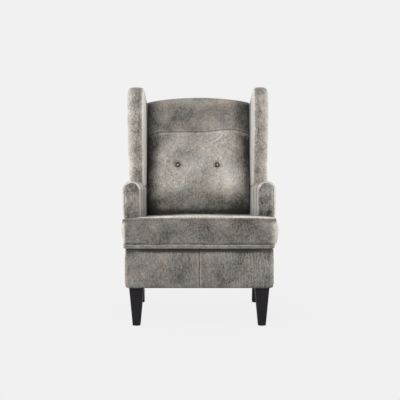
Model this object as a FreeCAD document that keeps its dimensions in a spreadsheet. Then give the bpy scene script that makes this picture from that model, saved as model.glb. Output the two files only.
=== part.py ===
import FreeCAD
import Part
import Sketcher
import math
import os
import re

from FreeCAD import Placement, Rotation, Vector

# An upholstered wing chair: hardwood frame, zigzag springs, foam, velvet covers and a loose T cushion.
# X runs to the right as one faces the chair, Y from the front to the back, Z up from the floor.
# The origin is on the floor under the middle of the chair. Setbacks run back from the front border.

# Driving dimensions, in millimetres

SIZES = {
    # base and deck
    "front_plane": -366,  # where the front border stands in Y
    "base_width": 646,
    "base_depth": 650,
    "base_bottom": 170,
    "border_thickness": 14,
    "border_drop": 1.7,  # border's top below the deck
    "border_corner": 24,
    "border_edge": 4,
    "seam_slit": 0.8,
    "deck_height": 339.7,
    "deck_padding": 21.7,
    "dust_thickness": 1.2,
    "dust_inset": 4,
    "dust_hole_radius": 6,
    # timber
    "rail_thickness": 25,
    "block_size": 60,
    "block_height": 62,
    "post_padding": 10.7,  # between the inside of the arm and its timber
    "post_depth": 50,
    "post_drop": 24,  # posts' top below the back's corners
    "top_rail_height": 78,
    "top_rail_rise": 18,
    "tuck_rail_height": 50,
    "tuck_rail_lift": 27,  # tuck rail above the seat rails
    "arm_post_depth": 45,
    "arm_padding": 40,  # above the arm rail
    "arm_rail_height": 35,
    "board_thickness": 18,
    "board_inset": 25,
    # suspension
    "spring_wire": 4,
    "spring_width": 36,  # straight part of each run of the wire
    "spring_bend": 23,
    "spring_pitch": 104,
    "clip_width": 18,
    "clip_length": 20,
    "clip_height": 5.7,
    "clip_slack": 0.2,
    "web_width": 55,
    "web_thickness": 2,
    "web_lap": 12,
    "web_pitch_up": 150,
    "web_below_tuft": 96.7,  # middle of the strap below the buttons
    "web_pitch_across": 170,
    # arms
    "arm_overhang": 21,  # how far the roll stands out over the base
    "arm_thickness": 80,
    "arm_height": 635,
    "arm_setback": 105,
    "arm_taper": 7,  # how far the outside falls in from the roll to the panel's seam
    "facing_thickness": 14,
    "facing_proud": 6,
    # sides and wings
    "panel_thickness": 10,
    "panel_seam": 468,  # top seam of the outside arm panel
    "wing_step": 2,  # inside of the wing behind the inside of the arm
    "wing_overhang": 15,  # how far the wing stands out over the base
    "wing_height": 1090,
    "wing_drop": 38,  # back's corners below the wing's top
    "wing_depth": 265,  # front edge of the wing beside the arm, ahead of the base's back
    "wing_sweep": 47,  # the wing's head stands this far in front of that
    "wing_foot": 5,  # straight foot of the front edge above the arm
    "wing_head_height": 190,  # straight head of the front edge and its nose
    "wing_nose": 75,  # radius at the head of the wing
    "wing_level": 37,  # level stretch behind the nose
    "wing_fall": 210,  # length of the curve down to the back's corner
    "wing_edge": 12,
    # back
    "back_crown": 23,  # the back's top is higher in the middle by this
    "back_lean": 91,  # how far the outside back leans over its height
    "foot_depth": 102,  # pad's foot, lumbar, waist and head, ahead of the base's back
    "lumbar_depth": 116,
    "waist_depth": 105,
    "head_depth": 22,
    "lumbar_share": 0.197,  # heights as shares of the way from the deck to the back's corners
    "waist_share": 0.3795,
    "tuft_share": 0.5353,
    "yoke_share": 0.7768,
    "chest_bulge": 7,
    "head_roll": 38,
    "back_draw": 26,  # how far the sides of the pad draw in
    "tuft_spacing": 202,
    "tuft_radius": 33,
    "tuft_depth": 9,
    "button_radius": 11,
    "button_dome": 6,
    "twine_radius": 1,
    "twine_tail": 4,
    "washer_radius": 13,
    "washer_thickness": 3,
    # seat cushion
    "cushion_height": 148,
    "cushion_crown": 9,
    "cushion_droop": 10,  # lower at the ears by this
    "cushion_overhang": 8,
    "ear_inset": 4,  # ears' sides inside the arm rolls
    "cushion_bulge": 4,
    "cushion_seam": 20,  # seams below the top and above the bottom
    "cushion_roll": 16,
    "cushion_corner": 24,
    "notch_radius": 8,
    "welt_radius": 3.5,
    "zip_inset": 44,  # ends of the zip inside the arms' inner faces
    "zip_width": 8,
    "zip_proud": 0.6,
    "zip_end": 4,
    "slider_length": 12,
    "slider_height": 9,
    "slider_thickness": 1.6,
    "pull_length": 22,
    "pull_height": 5,
    "pull_thickness": 0.8,
    "pull_hole": 1.5,
    # legs
    "glide_radius": 11,
    "glide_height": 2.5,
    "front_leg_top": 62,
    "front_leg_foot": 33,
    "front_leg_side": 48,  # middle of the leg inside the base's side
    "front_leg_inset": 20,
    "rear_leg_width": 38,
    "rear_leg_depth": 48,
    "rear_leg_foot": 34,
    "rear_leg_side": 12.7,  # middle of the leg inside the frame's side
    "rear_leg_inset": 3,
    "rear_leg_rake": 66,
    "leg_edge": 1.5,
    "bolt_radius": 4,
    "bolt_in_leg": 38,
    "bolt_in_frame": 50,
    "insert_radius": 9,
    "insert_height": 8,
    # cloth and clearances
    "cloth": 3,
    "contact_gap": 0.3,
    "cushion_gap": 1.6,
    "cushion_back_gap": 4.8,
    "bolt_gap": 0.2,
    "cut_overrun": 40,
}

# Sizes that follow from those above

WORKED_OUT = {
    "skin": "panel_thickness + contact_gap",
    "frame_half": "base_width / 2 - skin",
    "frame_front": "front_plane + border_thickness + contact_gap",
    "frame_back": "front_plane + base_depth - skin",
    "rail_top": "deck_height - deck_padding",
    "rail_height": "rail_top - base_bottom",
    "border_top": "deck_height - border_drop",
    "rail_inside": "frame_half - rail_thickness",
    "arm_outside": "base_width / 2 + arm_overhang",
    "arm_inside": "arm_outside - arm_thickness",
    "arm_width": "2 * arm_outside",
    "post_inside": "arm_inside + post_padding",
    "post_width": "frame_half - post_inside",
    "back_height": "wing_height - wing_drop",
    "post_top": "back_height - post_drop",
    "lean": "back_lean / (wing_height - base_bottom)",
    "stretch": "sqrt(1 + lean * lean)",
    "leg_top": "base_bottom - dust_thickness",
    "front_leg_x": "base_width / 2 - front_leg_side",
    "rear_leg_x": "frame_half - rear_leg_side",
    "front_leg_place": "front_plane + front_leg_inset + front_leg_top / 2",
    "rear_leg_place": "front_plane + base_depth - rear_leg_inset - rear_leg_depth / 2",
    "arm_front": "front_plane + arm_setback",
    "arm_radius": "(arm_outside - arm_inside) / 2",
    "arm_middle": "arm_inside + arm_radius",
    "arm_shoulder": "arm_height - arm_radius",
    "arm_rail_top": "arm_height - arm_padding",
    "wing_inside": "arm_inside + wing_step",
    "wing_outside": "base_width / 2 + wing_overhang",
    "wing_front": "front_plane + base_depth - wing_depth",
    "wing_head": "wing_front - wing_sweep",
    "wing_sweep_start": "arm_height + wing_foot",
    "wing_sweep_end": "wing_height - wing_head_height",
    "wing_rise": "wing_sweep_end - wing_sweep_start",
    "wing_skin": "wing_outside - panel_thickness",
    "sweep_radius": "(wing_sweep * wing_sweep + wing_rise * wing_rise) / (4 * wing_sweep)",
    "fall_radius": "(wing_drop * wing_drop + wing_fall * wing_fall) / (4 * wing_drop)",
    "back_half": "arm_inside - contact_gap",
    "back_rise": "back_height - deck_height",
    "lumbar_height": "deck_height + lumbar_share * back_rise",
    "waist_height": "deck_height + waist_share * back_rise",
    "tuft_height": "deck_height + tuft_share * back_rise",
    "yoke_seam": "deck_height + yoke_share * back_rise",
    "web_front": "2 * web_thickness + contact_gap",
    "cushion_bottom": "deck_height + contact_gap",
    "cushion_top": "cushion_bottom + cushion_height",
    "cushion_width": "2 * (arm_outside - ear_inset)",
    "cushion_back": "front_plane + base_depth - lumbar_depth - cushion_back_gap",
    "zip_length": "2 * (arm_inside - zip_inset)",
}

doc = FreeCAD.newDocument("wing_chair")
dims = doc.addObject("Spreadsheet::Sheet", "dims")
worked = doc.addObject("Spreadsheet::Sheet", "worked")


def with_sheets(text):
    """A formula with each size's name led by the sheet that holds it."""

    def lead(found):
        word = found.group()
        if word in SIZES:
            return f"dims.{word}"
        if word in WORKED_OUT:
            return f"worked.{word}"
        return word

    return re.sub(r"[a-z][a-z_]+", lead, text)


def fill_sheets():
    for row, (alias, value) in enumerate(SIZES.items(), start=1):
        dims.set(f"A{row}", alias)
        dims.set(f"B{row}", str(value))
        dims.setAlias(f"B{row}", alias)
    doc.recompute()
    for row, (alias, text) in enumerate(WORKED_OUT.items(), start=1):
        worked.set(f"A{row}", alias)
        worked.setAlias(f"B{row}", alias)
        worked.set(f"B{row}", f"={with_sheets(text)}")
    doc.recompute()


class Sizes:
    """The value of a size, read from its sheet by name."""

    def __getattr__(self, name):
        return float(getattr(dims if name in SIZES else worked, name))


size = Sizes()
nodes = {}


def number(text):
    found = dims.evalExpression(with_sheets(text))
    return float(getattr(found, "Value", found))


def bind(item, formulas):
    for place, text in formulas.items():
        item.setExpression(place, with_sheets(text))


def put(item, x, y, z):
    bind(item, {"Placement.Base.x": x, "Placement.Base.y": y, "Placement.Base.z": z})


def keep(label, item):
    """Make an object one of the chair's pieces, under its own name."""
    item.Label = label
    nodes[label] = item
    return item


# Primitives and booleans

ROD_SIDES = 8


def box(name, length, width, height, x, y, z):
    item = doc.addObject("Part::Box", name)
    bind(item, {"Length": length, "Width": width, "Height": height})
    put(item, x, y, z)
    return item


def rod(name, radius, height, x, y, z):
    """A small round bar or hole, with flats round it."""
    item = doc.addObject("Part::Prism", name)
    item.Polygon = ROD_SIDES
    bind(item, {"Circumradius": radius, "Height": height})
    put(item, x, y, z)
    return item


def line_edge(start, end):
    return Part.LineSegment(start, end).toShape()


def arc_edge(start, middle, end):
    return Part.Arc(start, middle, end).toShape()


def ends_of(edge):
    return edge.valueAt(edge.FirstParameter), edge.valueAt(edge.LastParameter)


def face_between(one, two):
    """The face between two edges: a plane between parallel lines, and else a ruled surface."""
    if all(isinstance(edge.Curve, Part.Line) for edge in (one, two)):
        start, end = ends_of(one)
        other_start, other_end = ends_of(two)
        return Part.Face(Part.makePolygon([start, end, other_end, other_start, start]))
    return Part.makeRuledSurface(one, two)


def skin(sections):
    """A closed solid through a stack of flat sections, each a list of the same number of edges."""
    faces = [Part.Face(Part.Wire(sections[0])), Part.Face(Part.Wire(sections[-1]))]
    for low, high in zip(sections, sections[1:]):
        faces += [face_between(one, two) for one, two in zip(low, high)]
    shell = Part.makeCompound(faces)
    shell.sewShape()
    solid = Part.Solid(shell.Shells[0])
    if solid.Volume < 0:
        solid.reverse()
    return solid


def ring(radius, height, sides):
    """The edges of a regular ring around the Z axis."""
    turns = [Rotation(Vector(0, 0, 1), 360 * corner / sides) for corner in range(sides + 1)]
    corners = [turn.multVec(Vector(radius, 0, height)) for turn in turns]
    return [line_edge(start, end) for start, end in zip(corners, corners[1:])]


def rod_shape(radius, low, length):
    return skin([ring(radius, low, ROD_SIDES), ring(radius, low + length, ROD_SIDES)])


def cut(name, base, *tools):
    for tool in tools:
        item = doc.addObject("Part::Cut", name)
        item.Base = base
        item.Tool = tool
        base = item
    return base


def common(name, base, tool):
    item = doc.addObject("Part::Common", name)
    item.Base = base
    item.Tool = tool
    return item


def fuse(name, base, tool):
    item = doc.addObject("Part::Fuse", name)
    item.Base = base
    item.Tool = tool
    return item


def mirror(name, source):
    item = doc.addObject("Part::Mirroring", name)
    item.Source = source
    item.Normal = Vector(1, 0, 0)
    return item


def group(name, items):
    item = doc.addObject("Part::Compound", name)
    item.Links = items
    return item


def keep_pair(label, item):
    """Keep a piece of the right-hand side and its mirror image."""
    keep(f"{label}_right", item)
    keep(f"{label}_left", mirror(f"{label}_left", item))


def shape_feature(name, shape):
    item = doc.addObject("Part::Feature", name)
    item.Shape = shape
    return item


# Sketches and bodies. An outline is a list of points (x, y) in formulas. A point that also has a
# radius starts an arc to the next point, whose centre is to the left (1) or right (-1) of the way.


def centre_between(start, end, radius, side):
    chord = end - start
    across = Vector(-chord.y, chord.x, 0).normalize()
    reach = math.sqrt(max(radius**2 - (chord.Length / 2) ** 2, 0))
    return (start + end) / 2 + across * side * reach


def add_edge(sketch, start, end, arc):
    """Add one edge and say which ends of it the way starts and ends at."""
    if arc is None:
        return sketch.addGeometry(Part.LineSegment(start, end), False), 1, 2
    radius, side = arc
    middle = centre_between(start, end, number(radius), side)
    first, last = (start, end) if side > 0 else (end, start)
    angles = [math.atan2(point.y - middle.y, point.x - middle.x) for point in (first, last)]
    circle = Part.Circle(middle, Vector(0, 0, 1), number(radius))
    index = sketch.addGeometry(Part.ArcOfCircle(circle, *angles), False)
    return (index, 1, 2) if side > 0 else (index, 2, 1)


def hold_point(sketch, edge, end, way, axis, text, value):
    if text == "0":
        sketch.addConstraint(Sketcher.Constraint("PointOnObject", edge, end, axis))
        return
    index = sketch.addConstraint(Sketcher.Constraint(way, -1, 1, edge, end, value))
    sketch.setExpression(f"Constraints[{index}]", with_sheets(text))


def sketch_on(body, name, role, outline, offset="0"):
    """A closed sketch on one of the body's own planes, every point bound to the sheet."""
    sketch = body.newObject("Sketcher::SketchObject", name)
    plane = next(part for part in body.Origin.OriginFeatures if part.Role == role)
    sketch.AttachmentSupport = [(plane, "")]
    sketch.MapMode = "FlatFace"
    bind(sketch, {"AttachmentOffset.Base.z": offset})
    points = [Vector(number(point[0]), number(point[1]), 0) for point in outline]
    edges = []
    for place, point in enumerate(outline):
        arc = point[2:] if len(point) > 2 else None
        end = points[(place + 1) % len(points)]
        edges.append(add_edge(sketch, points[place], end, arc))
    for place, (edge, start, end) in enumerate(edges):
        following, following_start, _ = edges[(place + 1) % len(edges)]
        sketch.addConstraint(Sketcher.Constraint("Coincident", edge, end, following, following_start))
        across, up = outline[place][:2]
        hold_point(sketch, edge, start, "DistanceX", -2, across, points[place].x)
        hold_point(sketch, edge, start, "DistanceY", -1, up, points[place].y)
        if len(outline[place]) > 2:
            radius = outline[place][2]
            index = sketch.addConstraint(Sketcher.Constraint("Radius", edge, number(radius)))
            sketch.setExpression(f"Constraints[{index}]", with_sheets(radius))
    return sketch


def pad(body, name, sketch, length, backwards=False):
    item = body.newObject("PartDesign::Pad", name)
    item.Profile = sketch
    item.Reversed = backwards
    bind(item, {"Length": length})
    return item


def slab(name, role, outline, start, thickness):
    """A body padded from an outline, from start onwards along the axis that its plane faces."""
    body = doc.addObject("PartDesign::Body", name)
    backwards = role == "XZ_Plane"
    offset = f"-({start})" if backwards else start
    sketch = sketch_on(body, f"{name}_outline", role, outline, offset)
    pad(body, f"{name}_pad", sketch, thickness, backwards)
    return body


def bevel_edges(body, name, wanted, amount):
    """Bevel those edges of a body's tip that a test picks."""
    doc.recompute()
    base = body.Tip
    picked = [f"Edge{place}" for place, edge in enumerate(base.Shape.Edges, start=1) if wanted(edge)]
    item = body.newObject("PartDesign::Chamfer", name)
    item.Base = (base, picked)
    bind(item, {"Size": amount})


def middle_of(edge):
    return edge.valueAt((edge.FirstParameter + edge.LastParameter) / 2)


def near(one, other):
    return abs(one - other) < size.contact_gap


def lean_back(item):
    """Stand a body on the front plane of the back posts, leaning as they do."""
    item.Placement = Placement(Vector(), Rotation(Vector(-1, 0, 0), 1))
    bind(item, {"Placement.Rotation.Angle": "atan(lean)"})
    put(item, "0", post_front("base_bottom"), "base_bottom")
    return item


def lean_placement():
    """The same place for shapes made in code."""
    turn = Rotation(Vector(-1, 0, 0), math.degrees(math.atan(size.lean)))
    return Placement(Vector(0, number(post_front("base_bottom")), size.base_bottom), turn)


def outside_back_at(height, forward="0"):
    """Formula for the place in Y of the leaning outside back, or of a plane in front of it."""
    return f"front_plane + base_depth + lean * ({height} - base_bottom) - ({forward})"


def post_rear(height, gap="0"):
    return outside_back_at(height, f"skin - {gap}")


def post_front(height, gap="0"):
    return outside_back_at(height, f"skin + post_depth + {gap}")


def up_lean(height):
    """Formula for a height measured along the leaning back."""
    return f"(({height}) - base_bottom) * stretch"


def tool_behind_back():
    """Everything behind the back posts, to trim what meets the outside back."""
    body = doc.addObject("PartDesign::Body", "behind_back")
    low = up_lean("base_bottom - cut_overrun")
    high = up_lean("wing_height + cut_overrun")
    outline = [
        ("-arm_width", low),
        ("arm_width", low),
        ("arm_width", high),
        ("-arm_width", high),
    ]
    sketch = sketch_on(body, "behind_back_outline", "XZ_Plane", outline, "-(post_depth / stretch)")
    pad(body, "behind_back_pad", sketch, "cut_overrun * 4", True)
    return lean_back(body)


def arched_outline(half, low, corner, rise):
    """A plate with a top edge that rises in the middle, as one arc on each side."""
    radius = f"(({half}) * ({half}) + ({rise}) * ({rise})) / (2 * ({rise}))"
    return [
        (f"-({half})", low),
        (half, low),
        (half, corner, radius, 1),
        ("0", f"{corner} + {rise}", radius, 1),
        (f"-({half})", corner),
    ]


def tool_back_timber():
    """The room of the back frame and its webbing, from post to post."""
    body = doc.addObject("PartDesign::Body", "back_timber_room")
    half = "post_inside + web_lap + contact_gap"
    corner = up_lean("post_top + contact_gap")
    low = up_lean("base_bottom - cut_overrun")
    outline = arched_outline(half, low, corner, "top_rail_rise")
    sketch = sketch_on(body, "back_timber_outline", "XZ_Plane", outline, "web_front")
    pad(body, "back_timber_pad", sketch, "web_front + post_depth + cut_overrun", True)
    return lean_back(body)


def post_outline(gap):
    """A back post from the side, or the room for it with a gap around it."""
    low = "base_bottom" if gap == "0" else "base_bottom - cut_overrun"
    return [
        (post_front(low, gap), low),
        (post_rear(low, gap), low),
        (post_rear(f"post_top + {gap}", gap), f"post_top + {gap}"),
        (post_front(f"post_top + {gap}", gap), f"post_top + {gap}"),
    ]


def rail_outline(front, low, high):
    """A rail from the side, whose rear end meets the leaning back post."""
    return [
        (front, low),
        (post_front(low), low),
        (post_front(high), high),
        (front, high),
    ]


# Timber frame


def make_seat_frame():
    inside = "rail_inside"
    front = box(
        "front_seat_rail", f"2 * {inside}", "rail_thickness", "rail_height",
        f"-{inside}", "frame_front", "base_bottom",
    )
    keep("front_seat_rail", front)
    back = box(
        "back_seat_rail", "2 * post_inside", "rail_thickness", "rail_height",
        "-post_inside", "frame_back - rail_thickness", "base_bottom",
    )
    keep("back_seat_rail", back)
    outline = rail_outline("frame_front", "base_bottom", "rail_top")
    keep_pair("side_seat_rail", slab("side_seat_rail", "YZ_Plane", outline, "rail_inside", "rail_thickness"))


def bolt_room(name, x, y):
    """Clearance hole for a leg bolt, through the leg and up into the frame."""
    length = "bolt_in_leg + dust_thickness + bolt_in_frame + 2 * bolt_gap"
    return rod(name, "bolt_radius + bolt_gap", length, x, y, "leg_top - bolt_in_leg - bolt_gap")


def insert_room(name, x, y):
    return rod(name, "insert_radius", "insert_height", x, y, "base_bottom")


def make_corner_blocks():
    corner_x, corner_y = "rail_inside", "frame_front + rail_thickness"
    outline = [
        (corner_x, corner_y),
        (corner_x, f"{corner_y} + block_size"),
        (f"{corner_x} - block_size", corner_y),
    ]
    block = slab("front_block", "XY_Plane", outline, "base_bottom", "block_height")
    place = "front_leg_x", "front_leg_place"
    block = cut("front_block_cut", block, bolt_room("b_room", *place), insert_room("i_room", *place))
    keep("front_corner_blocks", group("front_corner_blocks", [block, mirror("front_block_left", block)]))
    corner_x, corner_y = "post_inside", "frame_back - rail_thickness"
    outline = [
        (corner_x, corner_y),
        (f"{corner_x} - block_size", corner_y),
        (corner_x, f"{corner_y} - block_size"),
    ]
    block = slab("rear_block", "XY_Plane", outline, "base_bottom", "block_height")
    keep("rear_corner_blocks", group("rear_corner_blocks", [block, mirror("rear_block_left", block)]))


def make_back_frame():
    post = slab("back_post", "YZ_Plane", post_outline("0"), "post_inside", "post_width")
    place = "rear_leg_x", "rear_leg_place"
    post = cut("back_post_cut", post, bolt_room("b_room", *place), insert_room("i_room", *place))
    keep_pair("back_post", post)
    rail = doc.addObject("PartDesign::Body", "back_top_rail")
    low = up_lean("post_top - top_rail_height")
    outline = arched_outline("post_inside", low, up_lean("post_top"), "top_rail_rise")
    sketch = sketch_on(rail, "top_rail_outline", "XZ_Plane", outline)
    pad(rail, "top_rail_pad", sketch, "rail_thickness", True)
    keep("back_top_rail", lean_back(rail))
    top = "rail_top + tuck_rail_lift + tuck_rail_height"
    tuck = box(
        "tuck_rail", "2 * post_inside", "rail_thickness", "tuck_rail_height",
        "-post_inside", post_front(top), "rail_top + tuck_rail_lift",
    )
    keep("tuck_rail", tuck)


def make_arm_frame():
    front = "arm_front + facing_thickness + contact_gap"
    post = box(
        "arm_post", "post_width", "arm_post_depth", "arm_rail_top - rail_top",
        "post_inside", front, "rail_top",
    )
    keep_pair("arm_post", post)
    outline = rail_outline(f"{front} + arm_post_depth", "arm_rail_top - arm_rail_height", "arm_rail_top")
    keep_pair("arm_rail", slab("arm_rail", "YZ_Plane", outline, "post_inside", "post_width"))


def arm_frame_room(gap):
    """The room of the arm's timber, with a gap around it."""
    front = f"arm_front + facing_thickness + contact_gap - {gap}"
    low = "deck_height - cut_overrun"
    width = f"post_width + 2 * {gap}"
    post = box(
        "arm_post_room", width, f"arm_post_depth + 2 * {gap}", f"arm_rail_top + {gap} - ({low})",
        f"post_inside - {gap}", front, low,
    )
    outline = [
        (front, f"arm_rail_top - arm_rail_height - {gap}"),
        ("frame_back + cut_overrun", f"arm_rail_top - arm_rail_height - {gap}"),
        ("frame_back + cut_overrun", f"arm_rail_top + {gap}"),
        (front, f"arm_rail_top + {gap}"),
    ]
    rail = slab("arm_rail_room", "YZ_Plane", outline, f"post_inside - {gap}", width)
    return fuse("arm_frame_room", post, rail)


# Wings. The outline from the side runs up the front edge, over the head and down to the back.


def wing_outline(inset, low, rear):
    front, head = f"wing_front + {inset}", f"wing_head + {inset}"
    top, corner = f"wing_height - {inset}", f"back_height - {inset}"
    nose = f"wing_nose - {inset}"
    level_start = "wing_head + wing_nose"
    level_end = f"{level_start} + wing_level"
    return [
        (front, low),
        (front, "wing_sweep_start", "sweep_radius", 1),
        (f"{front} - wing_sweep / 2", "wing_sweep_start + wing_rise / 2", "sweep_radius", -1),
        (head, "wing_sweep_end"),
        (head, "wing_height - wing_nose", nose, -1),
        (level_start, top),
        (level_end, top, "fall_radius", -1),
        (f"{level_end} + wing_fall / 2", f"{top} - wing_drop / 2", "fall_radius", 1),
        (f"{level_end} + wing_fall", corner),
        (post_rear(corner, rear), corner),
        (post_rear(low, rear), low),
    ]


def wing_form(name, inset, low, rear):
    """The padded wing down to a level inside the arm, with its long edges bevelled."""
    body = slab(
        name, "YZ_Plane", wing_outline(inset, low, rear),
        f"wing_inside + {inset}", f"wing_outside - wing_inside - 2 * ({inset})",
    )
    bottom, reach = number(low), number(rear)

    def wanted(edge):
        middle = middle_of(edge)
        behind = number("front_plane + base_depth - skin") + reach
        behind = behind + size.lean * (middle.z - size.base_bottom)
        in_side_face = edge.BoundBox.XLength < size.contact_gap
        return in_side_face and not near(middle.z, bottom) and not near(middle.y, behind)

    bevel_edges(body, f"{name}_edges", wanted, f"wing_edge - {inset}")
    return body


def wing_rooms():
    """The rooms of the wing's board and of the back post, with a gap around each."""
    board = slab(
        "wing_board_room", "YZ_Plane", board_outline("contact_gap", "arm_rail_top - cut_overrun"),
        "frame_half - board_thickness - contact_gap", "board_thickness + 2 * contact_gap",
    )
    post = slab(
        "wing_post_room", "YZ_Plane", post_outline("contact_gap"),
        "post_inside - contact_gap", "post_width + 2 * contact_gap",
    )
    return [board, post]


def make_wings(arm_room, back_room, timber_rooms):
    low = "arm_rail_top"
    whole = wing_form("wing_whole", "0", low, "0")
    hollow = wing_form("wing_hollow", "cloth", f"{low} - cut_overrun", "cut_overrun")
    filling = wing_form("wing_filling", "(cloth + contact_gap)", low, "0")
    reach = "wing_height + cut_overrun"
    side = box(
        "wing_side_room", "cut_overrun", "2 * base_depth", reach,
        "wing_skin - contact_gap", "-base_depth", "base_bottom",
    )
    keep_pair("wing_cover", cut("wing_cover_cut", whole, hollow, side, arm_room, back_room))
    outer = box("wing_outer_room", "cut_overrun", "2 * base_depth", reach, "wing_skin", "-base_depth", "base_bottom")
    panel = common("wing_panel", whole, outer)
    keep_pair("outside_wing_panel", cut("wing_panel_cut", panel, arm_room))
    board_start = "frame_half - board_thickness"
    board = slab("wing_board", "YZ_Plane", board_outline("0", low), board_start, "board_thickness")
    keep_pair("wing_board", board)
    keep_pair("wing_pad", cut("wing_pad_cut", filling, side, arm_room, back_room, *timber_rooms))


def board_outline(gap, low):
    """The board inside the wing: the wing's outline drawn in, and butted on the back post."""
    inset = f"(board_inset - {gap})"
    outline = wing_outline(inset, low, "0")[:8]
    fall_end = "wing_head + wing_nose + wing_level + wing_fall"
    outline.append((fall_end, f"back_height - {inset}"))
    top = f"back_height - {inset}"
    return outline + [(post_front(top, f"(0 - {gap})"), top), (post_front(low, f"(0 - {gap})"), low)]


# Arms. The section runs round a half-circle roll; the outside falls in towards the panel's seam.


def arm_outline(inset, low):
    slope = "arm_taper / (arm_shoulder - panel_seam)"
    foot = f"arm_outside - {inset} - {slope} * (arm_shoulder - ({low}))"
    radius = f"arm_radius - {inset}"
    return [
        (f"arm_inside + {inset}", low),
        (foot, low),
        (f"arm_outside - {inset}", "arm_shoulder", radius, 1),
        ("arm_middle", f"arm_height - {inset}", radius, 1),
        (f"arm_inside + {inset}", "arm_shoulder"),
    ]


def arm_form(name, inset, low, front):
    length = f"base_depth + back_lean - ({front} - front_plane)"
    return slab(name, "XZ_Plane", arm_outline(inset, low), front, length)


def make_arms(rear_tool, back_room, timber_rooms):
    low = "cushion_bottom"
    front = "arm_front + facing_proud"
    whole = arm_form("arm_whole", "0", low, front)
    hollow = arm_form("arm_hollow", "cloth", f"{low} - cut_overrun", f"{front} - cut_overrun")
    below_seam = box(
        "arm_below_seam", "arm_width", "2 * base_depth", "panel_seam + contact_gap",
        "arm_middle", "-base_depth", "0",
    )
    cover = cut("arm_cover_cut", whole, hollow, below_seam, rear_tool, back_room, *timber_rooms)
    keep_pair("arm_cover", cover)
    inner = "(cloth + contact_gap)"
    filling = arm_form("arm_filling", inner, low, "arm_front + facing_thickness + contact_gap")
    room = arm_frame_room("contact_gap")
    below_seam = box(
        "arm_panel_room", "arm_width", "2 * base_depth", "panel_seam + contact_gap",
        "frame_half + contact_gap", "-base_depth", "0",
    )
    keep_pair("arm_pad", cut("arm_pad_cut", filling, room, below_seam, rear_tool, back_room, *timber_rooms))
    keep_pair("arm_facing", slab("arm_facing", "XZ_Plane", arm_outline(inner, low), "arm_front", "facing_thickness"))


def make_outside_panels(rear_tool):
    """The cloth and card outside each arm, upright to the deck and flared above it."""
    thick, top = "panel_thickness", "panel_seam"
    bend = "border_top"
    flare = "arm_outside - arm_taper"
    outline = [
        ("base_width / 2 - panel_thickness", "base_bottom"),
        ("base_width / 2", "base_bottom"),
        ("base_width / 2", bend),
        (flare, top),
        (f"{flare} - {thick}", top),
        (f"base_width / 2 - {thick}", bend),
    ]
    panel = slab("outside_arm_panel", "XZ_Plane", outline, "frame_front", "base_depth + back_lean")
    front_room = box(
        "ear_room", "arm_width", "arm_front + facing_thickness + contact_gap - front_plane", "arm_height",
        "arm_middle", "front_plane", bend,
    )
    keep_pair("outside_arm_panel", cut("outside_arm_panel_cut", panel, front_room, rear_tool))
    back = doc.addObject("PartDesign::Body", "outside_back")
    half, shoulder = "wing_outside", "arm_shoulder"
    radius = f"({half} * {half} + back_crown * back_crown) / (2 * back_crown)"
    corner = up_lean("back_height")
    outline = [
        ("-base_width / 2", up_lean("base_bottom")),
        ("base_width / 2", up_lean("base_bottom")),
        (half, up_lean(shoulder)),
        (half, corner, radius, 1),
        ("0", f"{corner} + back_crown", radius, 1),
        (f"-{half}", corner),
        (f"-{half}", up_lean(shoulder)),
    ]
    start = "-((post_depth + contact_gap) / stretch)"
    sketch = sketch_on(back, "outside_back_outline", "XZ_Plane", outline, start)
    pad(back, "outside_back_pad", sketch, "panel_thickness", True)
    below = box("below_back", "arm_width", "2 * base_depth", "base_bottom", "-arm_width / 2", "0", "0")
    keep("outside_back", cut("outside_back_cut", lean_back(back), below))


# Seat: springs, clips and the padded deck

SPRING_COUNT = 4
BEND_SHARES = (0.5, 1.5)
BEND_REACH_SHARE = math.sqrt(0.75)  # half a hexagon's reach for its side


def spring_path(span):
    """The middle line of one zigzag spring, front rail to back rail, each bend as half a hexagon."""
    runs = round(span / (2 * size.spring_bend))
    bend = span / runs / 2
    half = size.spring_width / 2
    outside = half + bend * BEND_REACH_SHARE
    points, side = [], -1
    for run in range(runs + 1):
        along = 2 * bend * run
        points += [Vector(side * half, along, 0), Vector(-side * half, along, 0)]
        if run < runs:
            points += [Vector(-side * outside, along + bend * share, 0) for share in BEND_SHARES]
        side = -side
    return points


def make_springs():
    start = number("frame_front + rail_thickness / 2")
    span = number("frame_back - rail_thickness / 2") - start
    points = spring_path(span)
    wire = size.spring_wire
    corners = [Vector(0, y, z) * wire / 2 for y, z in ((-1, -1), (1, -1), (1, 1), (-1, 1), (-1, -1))]
    section = Part.makePolygon(corners)
    section.translate(points[0])
    spring = Part.makePolygon(points).makePipeShell([section], True, False, 1)
    height = number("rail_top + clip_height / 2")
    clip = Part.makeBox(size.clip_width, size.clip_length, size.clip_height)
    clip.translate(Vector(-size.clip_width / 2, -size.clip_length / 2, -size.clip_height / 2))
    slot_height = wire + 2 * size.clip_slack
    slot = Part.makeBox(2 * size.clip_width, slot_height, slot_height)
    slot.translate(Vector(-size.clip_width, -slot_height / 2, -slot_height / 2))
    clip = clip.cut(slot)
    springs, clips = [], []
    for place in range(SPRING_COUNT):
        x = (place - (SPRING_COUNT - 1) / 2) * size.spring_pitch
        springs.append(spring.translated(Vector(x, start, height)))
        clips.append(clip.translated(Vector(x, start, height)))
        clips.append(clip.translated(Vector(x, start + span, height)))
    keep("seat_springs", shape_feature("seat_springs", Part.makeCompound(springs)))
    keep("spring_clips", shape_feature("spring_clips", Part.makeCompound(clips)))


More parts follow.
